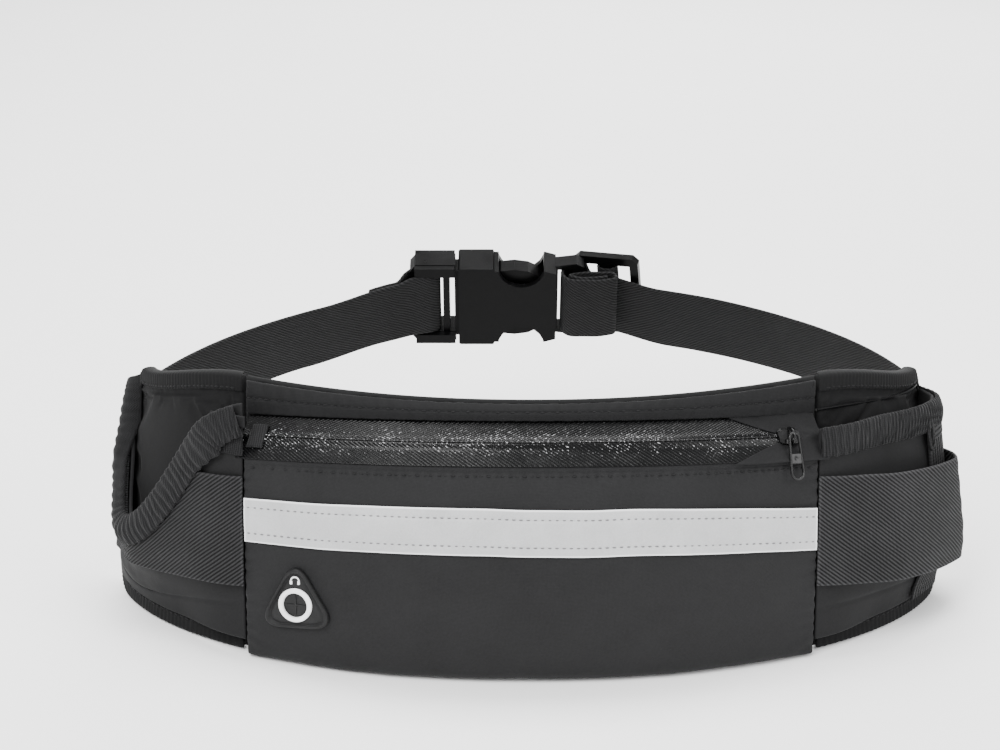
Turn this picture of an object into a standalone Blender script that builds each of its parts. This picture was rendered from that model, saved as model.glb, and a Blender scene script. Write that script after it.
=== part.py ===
"""Running waist pack: a curved zipped pouch, two padded side wings with elastic
pockets, and an elastic waist strap closed by a side-release buckle.

Metres, +Z up. The pouch faces -Y, the buckle is at +Y, and the pack stands on
z = 0. The origin is the bottom centre of the whole object.
"""

import math

import bmesh
import bpy
import numpy as np
from mathutils import Matrix, Vector

MM = 0.001

# ---- driving dimensions, in millimetres (the mesh is written in metres) ----
SHIFT_X = -1.631         # from the design frame to the object's own origin
SHIFT_Y = -134.015
SEAM_X = 126.0           # half width of the pouch, where the wings are sewn on
PACK_H = 118.0           # height of the padded back
PAD_T = 4.2              # thickness of the padded back
WALL = 2.0               # thickness of the pouch and pocket fabric
GAP = 0.4                # clearance between touching pieces

# plan ellipses of the wing pad's outer face: half length, half depth, centre y
WING_LOW = (196.0, 113.0, 121.0)
WING_TOP = (179.0, 84.0, 126.5)
WING_END_LOW = 86.0      # degrees round the ellipse at which the wing ends
WING_END_TOP = 86.0
WING_CORNER = 34.0       # rounding of the wing's lower rear corner

POUCH_BACK_LOW = 18.0    # y of the padded back's front face at the centre
POUCH_BACK_TOP = 37.0
BELLY_Z = 36.0           # height at which the pouch stands out most
BELLY_Y = -3.0

# zip: an arc about a tilted axis, so that the slider can travel along it
ZIP_MID = (0.0, 22.0, 104.0)
ZIP_END_X = 118.0
ZIP_RISE = (25.0, -7.0)  # how far the arc's ends lie back and down
TAPE_LOW = (4.85, -8.63) # (outward, upward) from the arc, lower tape edge
TAPE_TOP = (-7.05, 8.20)
TAPE_T = 0.9
COIL_HALF = 2.2

STRIP_LOW, STRIP_HIGH = 61.5, 80.5      # reflective strip at the centre
STRIP_LEFT, STRIP_RIGHT = (53.0, 72.0), (49.5, 68.0)   # the same at its ends
PORT_AT = (-102.0, 31.8)                # earphone port: x, z

BAND_H = 48.0            # elastic side bands
BAND_LOW, BAND_DROP = 33.5, 15.0
BAND_T = 1.3

STRAP_W = 38.0
STRAP_T = 1.8
STRAP_LEAN = 21.0        # degrees, top of the strap leans inward at the back
BUCKLE_AT = (-1.0, 251.0, 92.0)
BUCKLE_LEAN = 20.0
BUCKLE_W = 50.0
BUCKLE_T = 17.0


# --------------------------------------------------------------- helpers ----
def clear_scene():
    for obj in list(bpy.data.objects):
        bpy.data.objects.remove(obj, do_unlink=True)


def material(name, colour, roughness, metallic=0.0):
    mat = bpy.data.materials.new(name)
    mat.use_nodes = True
    bsdf = mat.node_tree.nodes["Principled BSDF"]
    bsdf.inputs["Base Color"].default_value = (*colour, 1.0)
    bsdf.inputs["Roughness"].default_value = roughness
    bsdf.inputs["Metallic"].default_value = metallic
    mat.diffuse_color = (*colour, 1.0)
    return mat


def to_world(p):
    return Vector(((p[0] + SHIFT_X) * MM, (p[1] + SHIFT_Y) * MM, p[2] * MM))


def make_object(name, verts, faces, mat, origin=None, smooth=40.0):
    """A mesh object from design-frame points, with its faces turned outward."""
    at = to_world(origin) if origin is not None else Vector((0, 0, 0))
    mesh = bpy.data.meshes.new(name)
    mesh.from_pydata([to_world(v) - at for v in verts], [], faces)
    bm = bmesh.new()
    bm.from_mesh(mesh)
    bmesh.ops.recalc_face_normals(bm, faces=bm.faces)
    if bm.calc_volume(signed=True) < 0:
        bmesh.ops.reverse_faces(bm, faces=bm.faces)
    bm.to_mesh(mesh)
    bm.free()
    mesh.shade_smooth()
    mesh.set_sharp_from_angle(angle=math.radians(smooth))
    obj = bpy.data.objects.new(name, mesh)
    obj.location = at
    obj.data.materials.append(mat)
    bpy.context.scene.collection.objects.link(obj)
    return obj


def shell(name, front, back, mat, origin=None):
    """A closed solid between two grids of points of the same shape."""
    nu, nv = len(front), len(front[0])
    verts = [p for row in front for p in row] + [p for row in back for p in row]
    half = nu * nv

    def at(i, j, side):
        return side * half + i * nv + j

    faces = []
    for i in range(nu - 1):
        for j in range(nv - 1):
            faces.append((at(i, j, 0), at(i + 1, j, 0), at(i + 1, j + 1, 0), at(i, j + 1, 0)))
            faces.append((at(i, j, 1), at(i, j + 1, 1), at(i + 1, j + 1, 1), at(i + 1, j, 1)))
    for i in range(nu - 1):
        faces.append((at(i, 0, 0), at(i, 0, 1), at(i + 1, 0, 1), at(i + 1, 0, 0)))
        faces.append((at(i, nv - 1, 0), at(i + 1, nv - 1, 0), at(i + 1, nv - 1, 1), at(i, nv - 1, 1)))
    for j in range(nv - 1):
        faces.append((at(0, j, 0), at(0, j + 1, 0), at(0, j + 1, 1), at(0, j, 1)))
        faces.append((at(nu - 1, j, 0), at(nu - 1, j, 1), at(nu - 1, j + 1, 1), at(nu - 1, j + 1, 0)))
    return make_object(name, verts, faces, mat, origin)


def tube_between(name, sections, mat, origin=None):
    """A closed solid through a row of section polygons, with filled ends."""
    n = len(sections[0])
    verts = [p for s in sections for p in s]
    faces = [tuple(range(n - 1, -1, -1)),
             tuple((len(sections) - 1) * n + k for k in range(n))]
    for i in range(len(sections) - 1):
        for k in range(n):
            a, b = i * n + k, i * n + (k + 1) % n
            faces.append((a, b, b + n, a + n))
    return make_object(name, verts, faces, mat, origin)


def lerp(a, b, t):
    return a + (b - a) * t


def smooth(t):
    t = min(max(t, 0.0), 1.0)
    return t * t * (3 - 2 * t)


def spaced(a, b, n):
    return [a + (b - a) * i / (n - 1) for i in range(n)]


# --------------------------------------------------- surfaces of the pack ----
def ellipse(spec, degrees):
    t = math.radians(degrees)
    return spec[0] * math.sin(t), spec[2] - spec[1] * math.cos(t)


def start_degrees(spec):
    return math.degrees(math.asin(SEAM_X / spec[0]))


def wing_top(u):
    """Height of the wing pad's top rim, from the seam (u=0) to the end (u=1)."""
    return 118.0 - 13.0 * smooth(u / 0.9) - 14.0 * smooth((u - 0.86) / 0.14)


def wing_bottom(u):
    k = (u - 0.72) / 0.28
    if k <= 0:
        return 0.0
    return WING_CORNER * (1.0 - math.sqrt(max(0.0, 1.0 - min(k, 1.0) ** 2)))


def wing_pad_point(u, z):
    """The wing pad's outer face, right side, and its outward direction."""
    a = ellipse(WING_LOW, lerp(start_degrees(WING_LOW), WING_END_LOW, u))
    b = ellipse(WING_TOP, lerp(start_degrees(WING_TOP), WING_END_TOP, u))
    v = z / PACK_H
    return Vector((lerp(a[0], b[0], v), lerp(a[1], b[1], v), z))


def wing(u, z, out, side):
    """A point at a distance outward of the wing pad's outer face."""
    e = 0.004
    p = wing_pad_point(u, z)
    du = wing_pad_point(u + e, z) - wing_pad_point(u - e, z)
    n = du.cross(Vector((0, 0, 1))).normalized()
    n = Vector((0, -1, 0)).lerp(n, smooth(u / 0.16)).normalized()
    p = p + n * out
    return Vector((p.x * side, p.y, p.z))


def pad_y(x, z):
    """Front face of the pouch's padded back."""
    k = abs(x) / SEAM_X
    low_end = ellipse(WING_LOW, start_degrees(WING_LOW))[1]
    top_end = ellipse(WING_TOP, start_degrees(WING_TOP))[1]
    low = lerp(POUCH_BACK_LOW, low_end, k ** 2.8)
    top = lerp(POUCH_BACK_TOP, top_end, k ** 2.1)
    return lerp(low, top, z / PACK_H)


def front_y(x, z):
    """Outer face of the pouch's front panel."""
    w = 1.0 - (abs(x) / SEAM_X) ** 2.2
    middle = BELLY_Y + 0.0045 * (z - BELLY_Z) ** 2
    end = 27.0 + 0.08 * z + 0.0009 * z * z
    return lerp(end, middle, w)


# -------------------------------------------------------------- zip frame ----
ZIP_REACH = math.hypot(*ZIP_RISE)
ZIP_E = Vector((0.0, ZIP_RISE[0] / ZIP_REACH, ZIP_RISE[1] / ZIP_REACH))
ZIP_A = Vector((0.0, -ZIP_RISE[1] / ZIP_REACH, ZIP_RISE[0] / ZIP_REACH))
ZIP_R = (ZIP_END_X ** 2 + ZIP_REACH ** 2) / (2 * ZIP_REACH)
ZIP_C = Vector(ZIP_MID) + ZIP_E * ZIP_R
ZIP_END = math.asin(ZIP_END_X / ZIP_R)


def zip_point(angle, out, up):
    r = Vector((1, 0, 0)) * math.sin(angle) - ZIP_E * math.cos(angle)
    return ZIP_C + r * (ZIP_R + out) + ZIP_A * up


def tape(s, lift):
    """(outward, upward) of a place across the tape: 0 lower edge, 1 upper edge."""
    dx, dz = TAPE_TOP[0] - TAPE_LOW[0], TAPE_TOP[1] - TAPE_LOW[1]
    n = math.hypot(dx, dz)
    return (TAPE_LOW[0] + dx * s + lift * dz / n, TAPE_LOW[1] + dz * s - lift * dx / n)


def zip_strip(name, s0, s1, low, high, end_left, end_right, mat, n=26):
    front, back = [], []
    for angle in spaced(-end_left, end_right, n):
        front.append([zip_point(angle, *tape(s, high)) for s in (s0, s1)])
        back.append([zip_point(angle, *tape(s, low)) for s in (s0, s1)])
    return shell(name, front, back, mat)


# ------------------------------------------------------------ strap curves ----
# Each strap half lies on a cone about a vertical axis, so that the adjuster can
# travel along it: plan centre of the axis, and the cone's radius at z = 100.
RIGHT_CONE = (-10.7, 61.7, 195.0)
LEFT_CONE = (-46.3, 27.1, 237.0)
RIGHT_RUN = (12.6, 72.3)     # degrees from +Y, from the buckle to the wing
LEFT_RUN = (27.2, 67.3)


def cone_point(cone, degrees, z, out, side=1, lean=None):
    lean = STRAP_LEAN if lean is None else lean
    a = math.radians(degrees)
    rho = cone[2] + (100.0 - z) * math.tan(math.radians(lean)) + out
    return Vector(((cone[0] + rho * math.sin(a)) * side, cone[1] + rho * math.cos(a), z))


def strap_lean(run, degrees):
    return lerp(STRAP_LEAN, 8.0, smooth((degrees - (run[1] - 28.0)) / 26.0))


def strap_mid(run, degrees, rise):
    return 100.0 - STRAP_W / 2 * math.cos(math.radians(STRAP_LEAN)) + rise * (1 - smooth((degrees - run[0]) / 12.0))


def strap(name, cone, run, side, rise, mat, n=30):
    front, back = [], []
    for a in spaced(run[0], run[1], n):
        lean = strap_lean(run, a)
        half = STRAP_W / 2 * math.cos(math.radians(lean))
        mid = strap_mid(run, a, rise)
        zs = (mid - half, mid, mid + half)
        front.append([cone_point(cone, a, z, -STRAP_T / 2, side, lean) for z in zs])
        back.append([cone_point(cone, a, z, STRAP_T / 2, side, lean) for z in zs])
    return shell(name, front, back, mat)


clear_scene()

M_LYCRA = material("smooth_knit", (0.035, 0.035, 0.037), 0.72)
M_PAD = material("padded_mesh", (0.012, 0.012, 0.013), 0.85)
M_ELASTIC = material("ribbed_elastic", (0.018, 0.018, 0.019), 0.8)
M_COATED = material("coated_zip_tape", (0.010, 0.010, 0.011), 0.25)
M_REFLECT = material("reflective_tape", (0.62, 0.62, 0.63), 0.45)
M_RUBBER = material("moulded_rubber", (0.022, 0.022, 0.023), 0.55)
M_WHITE = material("white_rubber", (0.78, 0.78, 0.78), 0.5)
M_PLASTIC = material("buckle_plastic", (0.014, 0.014, 0.015), 0.42)
M_METAL = material("painted_zinc", (0.03, 0.03, 0.032), 0.3, 0.6)

# ---- padded back of the pouch
xs = spaced(-SEAM_X + 0.2, SEAM_X - 0.2, 27)
zs = spaced(0.0, PACK_H, 7)
shell("back_panel",
      [[Vector((x, pad_y(x, z), z)) for z in zs] for x in xs],
      [[Vector((x, pad_y(x, z) + PAD_T, z)) for z in zs] for x in xs], M_PAD)

# ---- front panel: a belly that turns under into the flat base
def panel_top(x):
    """Height of the panel's upper edge, just under the lower zip tape."""
    angle = math.asin(x / (ZIP_R + TAPE_LOW[0]))
    return zip_point(angle, *tape(0.0, 0.0))


front, back = [], []
for x in spaced(-SEAM_X + 0.4, SEAM_X - 0.4, 27):
    top = panel_top(x)
    z_top = top.z - 0.6
    outer, inner = [], []
    for k in range(9):
        s = 1.0 - k / 8.0
        z = 4.0 + (z_top - 4.0) * s
        y = front_y(x, z)
        y += (top.y - front_y(x, z_top)) * s ** 6
        outer.append(Vector((x, y, z)))
        inner.append(Vector((x, y + WALL, z + 0.4 * (1 - s))))
    foot = front_y(x, 0.0)
    heel = pad_y(x, 0.0) - GAP
    outer += [Vector((x, foot + 1.2, 1.2)), Vector((x, foot + 4.0, 0.0)), Vector((x, heel, 0.0))]
    inner += [Vector((x, foot + 2.6, 3.0)), Vector((x, foot + 4.4, WALL)), Vector((x, heel, WALL))]
    front.append(outer)
    back.append(inner)
shell("front_panel", front, back, M_LYCRA)

# ---- zip: two coated tapes, the coil between them, the end tab
zip_strip("zip_tape_lower", 0.02, 0.36, -TAPE_T / 2, TAPE_T / 2, ZIP_END, ZIP_END, M_COATED)
zip_strip("zip_tape_upper", 0.64, 0.98, -TAPE_T / 2, TAPE_T / 2, ZIP_END, ZIP_END, M_COATED)
zip_strip("zip_coil", 0.39, 0.61, -0.9, 0.9, ZIP_END, ZIP_END, M_COATED)
angles = spaced(-ZIP_END - 0.020, -ZIP_END - 0.003, 3)
shell("zip_end_tab",
      [[zip_point(a, *tape(s, 1.2)) for s in (0.30, 0.70)] for a in angles],
      [[zip_point(a, *tape(s, -1.2)) for s in (0.30, 0.70)] for a in angles], M_ELASTIC)

# ---- slider, at rest at the right-hand end; it rides just clear of the coil
SLIDER_AT = ZIP_END - math.radians(1.2)
sec = []
for da, half, high in ((-0.0185, 2.6, 2.6), (-0.0125, 3.8, 3.3), (0.0, 4.3, 3.6), (0.0125, 3.8, 3.3), (0.0185, 2.6, 2.6)):
    ring = []
    for s, lift in ((-half, 1.3), (half, 1.3), (half, high * 0.75), (half * 0.6, high), (-half * 0.6, high), (-half, high * 0.75)):
        ring.append(zip_point(SLIDER_AT + da, *tape(0.5 + s / 20.6, lift)))
    sec.append(ring)
tube_between("zip_slider", sec, M_METAL, origin=zip_point(SLIDER_AT, *tape(0.5, 2.4)))

# ---- pull tab: a long loop with two holes, hanging from the slider
PULL_PIN = zip_point(SLIDER_AT, *tape(0.40, 5.9))
pull_frame_x = (zip_point(SLIDER_AT + 0.01, 0, 0) - zip_point(SLIDER_AT - 0.01, 0, 0)).normalized()
pull_foot = Vector((PULL_PIN.x, front_y(PULL_PIN.x, PULL_PIN.z - 18.0) - 2.9, PULL_PIN.z - 18.0))
pull_down = pull_foot - PULL_PIN
pull_down = (pull_down - pull_frame_x * pull_down.dot(pull_frame_x)).normalized()
pull_n = pull_frame_x.cross(pull_down).normalized()
if pull_n.y > 0:
    pull_n = -pull_n


def outline(points, rounds=8):
    """Closed outline of two circles joined, each (along, across, radius)."""
    (a0, r0), (a1, r1) = points
    out = []
    for k in range(rounds + 1):
        t = math.pi * k / rounds
        out.append((a0 - r0 * math.sin(t), r0 * math.cos(t)))
    for k in range(rounds + 1):
        t = math.pi + math.pi * k / rounds
        out.append((a1 - r1 * math.sin(t), r1 * math.cos(t)))
    return out


def plate_with_hole(name, outer, hole, thick, frame, mat, origin):
    """A flat plate with one hole, both outlines having the same point count."""
    o, ax, ay, n = frame
    n_pts = len(outer)
    verts = []
    for side in (0.5, -0.5):
        for loop in (outer, hole):
            verts += [o + ax * a + ay * b + n * (thick * side) for a, b in loop]
    faces = []
    for k in range(n_pts):
        m = (k + 1) % n_pts
        of, hf, ob, hb = 0, n_pts, 2 * n_pts, 3 * n_pts
        faces += [(of + k, of + m, hf + m, hf + k), (ob + k, hb + k, hb + m, ob + m),
                  (of + k, ob + k, ob + m, of + m), (hf + k, hf + m, hb + m, hb + k)]
    return make_object(name, verts, faces, mat, origin)


plate_with_hole("zip_pull", outline(((1.0, 2.9), (16.0, 3.6))), outline(((2.7, 1.5), (15.6, 1.9))), 1.2,
                (PULL_PIN, pull_down, pull_frame_x, pull_n), M_METAL, PULL_PIN)

# ---- hem above the zip, folded to the top of the padded back
front, back = [], []
for a in spaced(-ZIP_END, ZIP_END, 27):
    low = zip_point(a, *tape(1.04, 0.9))
    top_y = pad_y(low.x * 1.03, PACK_H) - 2.4
    top = Vector((low.x * 1.03, top_y, PACK_H - 0.4))
    mid = (low + top) / 2 + Vector((0, -0.9, 0.4))
    front.append([low, mid, top])
    back.append([p + Vector((0, 1.5, -0.5)) for p in (low, mid)] + [top + Vector((0, 1.9, -0.2))])
shell("top_hem", front, back, M_LYCRA)

# ---- reflective strip on the belly
front, back = [], []
for x in spaced(-SEAM_X + 0.8, SEAM_X - 0.8, 27):
    w = 1.0 - (abs(x) / SEAM_X) ** 2.2
    end = STRIP_LEFT if x < 0 else STRIP_RIGHT
    lo, hi = lerp(end[0], STRIP_LOW, w), lerp(end[1], STRIP_HIGH, w)
    f, b = [], []
    for z in spaced(lo, hi, 3):
        top = panel_top(x)
        s = (z - 4.0) / (top.z - 4.6)
        y = front_y(x, z) + (top.y - front_y(x, top.z - 0.6)) * s ** 6
        f.append(Vector((x, y - GAP - 0.9, z)))
        b.append(Vector((x, y - GAP, z)))
    front.append(f)
    back.append(b)
shell("reflective_strip", front, back, M_REFLECT)

# ---- earphone port: rounded triangle of rubber with a ring on it
def port_point(a, b, out):
    """a across, b up, from the port's centre, at a distance off the panel."""
    x, z = PORT_AT[0] + a, PORT_AT[1] + b
    e = 0.5
    dy_dx = (front_y(x + e, z) - front_y(x - e, z)) / (2 * e)
    dy_dz = (front_y(x, z + e) - front_y(x, z - e)) / (2 * e)
    n = Vector((dy_dx, -1.0, dy_dz)).normalized()
    return Vector((x, front_y(x, z), z)) + n * out


def triangle(radius, corner, count=24):
    pts = []
    for k in range(count):
        t = 2 * math.pi * k / count + math.pi / 2
        flat = math.cos(math.pi / 3) / math.cos((t - math.pi / 2) % (2 * math.pi / 3) - math.pi / 3)
        r = radius * lerp(flat, 1.0, corner)
        pts.append((r * math.cos(t), r * math.sin(t) - 1.5))
    return pts


def port_ring(name, outer, hole, low, high, mat):
    n = len(outer)
    verts = []
    for lift in (high, low):
        for loop in (outer, hole):
            verts += [port_point(a, b, lift) for a, b in loop]
    faces = []
    for k in range(n):
        m = (k + 1) % n
        faces += [(k, m, n + m, n + k), (2 * n + k, 3 * n + k, 3 * n + m, 2 * n + m),
                  (k, 2 * n + k, 2 * n + m, m), (n + k, n + m, 3 * n + m, 3 * n + k)]
    return make_object(name, verts, faces, mat)


def circle(radius, count=24):
    return [(radius * math.cos(2 * math.pi * k / count + math.pi / 2),
             radius * math.sin(2 * math.pi * k / count + math.pi / 2) - 1.4) for k in range(count)]


port_ring("earphone_port_patch", triangle(17.0, 0.42), circle(3.0), 0.5, 2.0, M_RUBBER)
port_ring("earphone_port_ring", circle(7.9), circle(5.7), 2.35, 3.1, M_WHITE)

# ---- side wings, each with its pad, pocket, binding and band
U_LIST = spaced(0.003, 1.0, 19)


def pad_rows(side, offset):
    rows = []
    for u in U_LIST:
        lo, hi = wing_bottom(u), wing_top(u)
        rows.append([wing(u, z, offset, side) for z in spaced(lo, hi, 7)])
    return rows


def pocket_out(u, z):
    """How far the pocket's outer face stands off the pad."""
    at_seam = max(pad_y(SEAM_X, z) - front_y(SEAM_X, z), 0.0) * 0.90
    full = 2.3 + 9.2 * smooth((z - 4.0) / 34.0) * (1.0 - 0.75 * smooth((u - 0.70) / 0.30))
    return lerp(at_seam, full, smooth(u / 0.30))


def left_mouth(u):
    """Top edge of the left pocket: slants from the seam down to a low U."""
    if u < 0.60:
        return lerp(112.0, 46.0, smooth(u / 0.60) ** 0.9)
    return lerp(46.0, 92.0, smooth((u - 0.60) / 0.36))


def right_mouth(u):
    return 101.0 - 6.0 * smooth(u / 0.9)


def pocket(name, side, mouth, mat):
    front, back = [], []
    for u in spaced(0.004, 0.955, 25):
        lo = max(7.0, wing_bottom(u) + 6.0)
        hi = mouth(u)
        f, b = [], []
        for k, z in enumerate(spaced(lo, hi, 9)):
            out = pocket_out(u, z)
            inner = out - WALL
            closed = min(smooth(u / 0.05), smooth((0.955 - u) / 0.05), smooth((z - lo) / 6.0))
            inner = lerp(GAP, inner, closed)
            f.append(wing(u, z, max(out, inner + 1.2), side))
            b.append(wing(u, z, inner, side))
        front.append(f)
        back.append(b)
    return shell(name, front, back, mat)


def binding(name, side, mouth, u0, u1, base, mat, width=8.0, thick=1.6, n=25):
    """Gathered elastic along a pocket's mouth, on the outside."""
    front, back = [], []
    for u in spaced(u0, u1, n):
        z = mouth(u)
        slope = (mouth(u + 0.01) - mouth(u - 0.01)) / 0.02
        length = (wing(u + 0.01, z, 10, 1) - wing(u - 0.01, z, 10, 1)).length / 0.02
        tangent = math.atan2(slope, length)
        f, b = [], []
        for k in (-1.0, 0.0, 1.0):
            across = k * width / 2 - width / 2 - 0.4
            uu = u - across * math.sin(tangent) / length
            zz = z + across * math.cos(tangent)
            out = pocket_out(uu, zz) + base
            f.append(wing(uu, zz, out + thick, side))
            b.append(wing(uu, zz, out, side))
        front.append(f)
        back.append(b)
    return shell(name, front, back, mat)


def band(name, side, standoff, mat, top_trim=None):
    front, back = [], []
    for u in spaced(0.006, 0.93, 23):
        lo = BAND_LOW - BAND_DROP * u
        hi = lo + BAND_H
        if top_trim:
            hi = min(hi, top_trim(u))
        f, b = [], []
        for z in spaced(lo, hi, 3):
            out = max(pocket_out(u, z) for z in (lo, (lo + hi) / 2, hi))
            out = lerp(pocket_out(u, z), out, 0.5) + 0.5
            out = max(out, pocket_out(u, z) + 0.7) + standoff * smooth(u / 0.3) * smooth((0.93 - u) / 0.25)
            f.append(wing(u, z, out + BAND_T, side))
            b.append(wing(u, z, out, side))
        front.append(f)
        back.append(b)
    return shell(name, front, back, mat)


for side, word in ((-1, "left"), (1, "right")):
    shell(word + "_wing_pad", pad_rows(side, 0.0), pad_rows(side, -PAD_T), M_PAD)

pocket("left_pocket_front", -1, left_mouth, M_LYCRA)
binding("left_pocket_binding", -1, left_mouth, 0.05, 0.90, 2.3, M_ELASTIC)
band("left_elastic_band", -1, 0.0, M_ELASTIC, top_trim=lambda u: left_mouth(u) - 1.0)

pocket("right_pocket_front", 1, right_mouth, M_LYCRA)
binding("right_pocket_binding", 1, right_mouth, 0.02, 0.93, 0.4, M_ELASTIC)
band("right_bottle_band", 1, 7.6, M_ELASTIC)

# ---- sling under the bottle: a loop of webbing across the wing's lower corner
front, back = [], []
for k, z in enumerate(spaced(9.0, 84.0, 12)):
    f, b = [], []
    for uu in (0.60, 0.70, 0.80):
        u = uu - 0.10 * smooth((40 - z) / 30)
        lo = wing_bottom(u) + 7.5
        zz = max(z, lo + (z - 9.0) * 0.02)
        if z < 30:
            zz = lerp(lo, 30.0, (z - 9.0) / 21.0)
        out = pocket_out(u, zz) + 0.8
        f.append(wing(u, zz, out + 1.3, 1))
        b.append(wing(u, zz, out, 1))
    front.append(f)
    back.append(b)
shell("right_bottle_sling", front, back, M_ELASTIC)

# ------------------------------------------------------------------ straps ----
strap("left_strap", LEFT_CONE, LEFT_RUN, -1, 5.0, M_ELASTIC)
strap("right_strap", RIGHT_CONE, RIGHT_RUN, 1, 7.0, M_ELASTIC)

# the left strap's free end, doubled back outside the strap behind the plug
front, back = [], []
for a in spaced(LEFT_RUN[0] - 0.25, LEFT_RUN[0] + 4.6, 6):
    mid = strap_mid(LEFT_RUN, a, 5.0)
    zs = (mid - 17.5, mid, mid + 17.5)
    front.append([cone_point(LEFT_CONE, a, z, 1.6, -1) for z in zs])
    back.append([cone_point(LEFT_CONE, a, z, 4.6, -1) for z in zs])
shell("left_strap_tail", front, back, M_ELASTIC)

# ------------------------------------------------------------------ buckle ----
# buckle frame: X along the belt, V up the face, N towards the wearer
BK_V = Vector((0, -math.sin(math.radians(BUCKLE_LEAN)), math.cos(math.radians(BUCKLE_LEAN))))
BK_N = Vector((0, -math.cos(math.radians(BUCKLE_LEAN)), -math.sin(math.radians(BUCKLE_LEAN))))
BK_O = Vector((0.0, BUCKLE_AT[1], BUCKLE_AT[2]))


def bk(x, v, n):
    return BK_O + Vector((x, 0, 0)) + BK_V * v + BK_N * n


def prism(name, pts, n0, n1, mat, point=bk, origin=None, cutter=False):
    """An extruded outline in the (x, v) plane of a frame, from n0 to n1."""
    obj = tube_between(name, [[point(x, v, n0) for x, v in pts], [point(x, v, n1) for x, v in pts]], mat, origin)
    if cutter:
        obj.hide_render = True
        obj.display_type = "WIRE"
    return obj


def rect(x0, x1, v0, v1):
    return [(x0, v0), (x1, v0), (x1, v1), (x0, v1)]


def oval(cx, cv, rx, rv, count=20):
    return [(cx + rx * math.cos(2 * math.pi * k / count), cv + rv * math.sin(2 * math.pi * k / count))
            for k in range(count)]


def boolean(obj, cutter, operation="DIFFERENCE"):
    m = obj.modifiers.new("cut_" + cutter.name, "BOOLEAN")
    m.object = cutter
    m.operation = operation
    m.solver = "EXACT"


HALF_W, HALF_T = BUCKLE_W / 2, BUCKLE_T / 2
SOCKET_X = (-35.0, 30.0)

# socket: waisted body, a channel open towards the plug, a rear window and bar
body = [(-35, -HALF_W + 0.8), (-34.2, -HALF_W), (-17, -HALF_W), (-16.4, -HALF_W + 1.6), (10, -HALF_W + 1.6),
        (15.5, -HALF_W + 3.4), (15.5, HALF_W - 3.4), (10, HALF_W - 1.6), (-16.4, HALF_W - 1.6), (-17, HALF_W),
        (-34.2, HALF_W), (-35, HALF_W - 0.8)]
socket = prism("buckle_socket", body, -HALF_T, HALF_T, M_PLASTIC)
rear = prism("socket_rear", [(13, -21.6), (26, -23.4), (30, -21.0), (30, 21.0), (26, 23.4), (13, 21.6)], -6.0, 2.0,
             M_PLASTIC, cutter=True)
boolean(socket, rear, "UNION")
boolean(socket, prism("cut_channel", rect(-40, 10.5, -22.2, 22.2), -5.4, 5.4, M_PLASTIC, cutter=True))
boolean(socket, prism("cut_side_top", oval(-2.5, 25.5, 12.0, 12.5), -12, 12, M_PLASTIC, cutter=True))
boolean(socket, prism("cut_side_low", oval(-2.5, -25.5, 12.0, 12.5), -12, 12, M_PLASTIC, cutter=True))
boolean(socket, prism("cut_rear_window", rect(16.5, 24.0, -19.6, 19.6), -12, 12, M_PLASTIC, cutter=True))

# plug: frame with a ladder of bars for the webbing, and a guide in the channel
plug = prism("buckle_plug", [(-60, -21), (-57, -HALF_W), (-36.5, -HALF_W), (-36.5, -21.4), (-28.5, -21.4),
                             (-28.5, 21.4), (-36.5, 21.4), (-36.5, HALF_W), (-57, HALF_W), (-60, 21)],
             -4.9, 4.9, M_PLASTIC)
for k, half_rail in enumerate((1, -1)):
    lo, hi = sorted((half_rail * 19.2, half_rail * (HALF_W - 0.3)))
    boolean(plug, prism("plug_rail_%d" % k, rect(-57.5, -36.9, lo, hi), -HALF_T + 0.4, HALF_T - 0.4, M_PLASTIC,
                        cutter=True), "UNION")
for k, (x0, x1) in enumerate(((-57.0, -52.0), (-48.0, -43.0), (-39.6, -37.0))):
    boolean(plug, prism("cut_plug_slot_%d" % k, rect(x0, x1, -19.0, 19.0), -12, 12, M_PLASTIC, cutter=True))

# prongs: flexing arms on either side of the guide, each about its own root
PRONG_PIN = (-26.0, 12.6)
outer_edge = [(-27.4, 16.0), (-20, 18.0), (-13, 20.6), (-6, 21.5), (1, 20.4), (6, 17.6), (8.6, 14.2)]
inner_edge = [(8.0, 12.2), (4, 12.6), (-2, 14.4), (-9, 14.8), (-17, 12.8), (-27.4, 9.6)]
for word, sign in (("upper", 1), ("lower", -1)):
    pts = [(x, v * sign) for x, v in outer_edge + inner_edge]
    prism("buckle_prong_" + word, pts, -4.4, 4.4, M_PLASTIC, origin=bk(PRONG_PIN[0], PRONG_PIN[1] * sign, 0))

# webbing rolled and doubled between the socket's rear bar and the adjuster
roll = []
for v in spaced(-19.0, 19.0, 3):
    roll.append([bk(32.0 + 15.6 * math.copysign(abs(math.cos(t)) ** 0.6, math.cos(t)), v,
                    6.2 + 3.4 * math.copysign(abs(math.sin(t)) ** 0.7, math.sin(t)))
                 for t in [2 * math.pi * k / 20 for k in range(20)]])
tube_between("right_strap_loop", roll, M_ELASTIC)

# adjuster: a tri-glide frame behind the right strap
ADJUST_AT = 15.6
ADJUST_Z = 91.0
aa = math.radians(ADJUST_AT)
lean = math.radians(STRAP_LEAN)
AD_O = cone_point(RIGHT_CONE, ADJUST_AT, ADJUST_Z, 0.0)
AD_X = Vector((math.cos(aa), -math.sin(aa), 0.0))
AD_R = Vector((math.sin(aa), math.cos(aa), 0.0))
AD_V = (Vector((0, 0, math.cos(lean))) - AD_R * math.sin(lean)).normalized()
AD_N = AD_X.cross(AD_V).normalized()


def ad(x, v, n):
    return AD_O + AD_X * x + AD_V * v - AD_N * n


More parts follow.
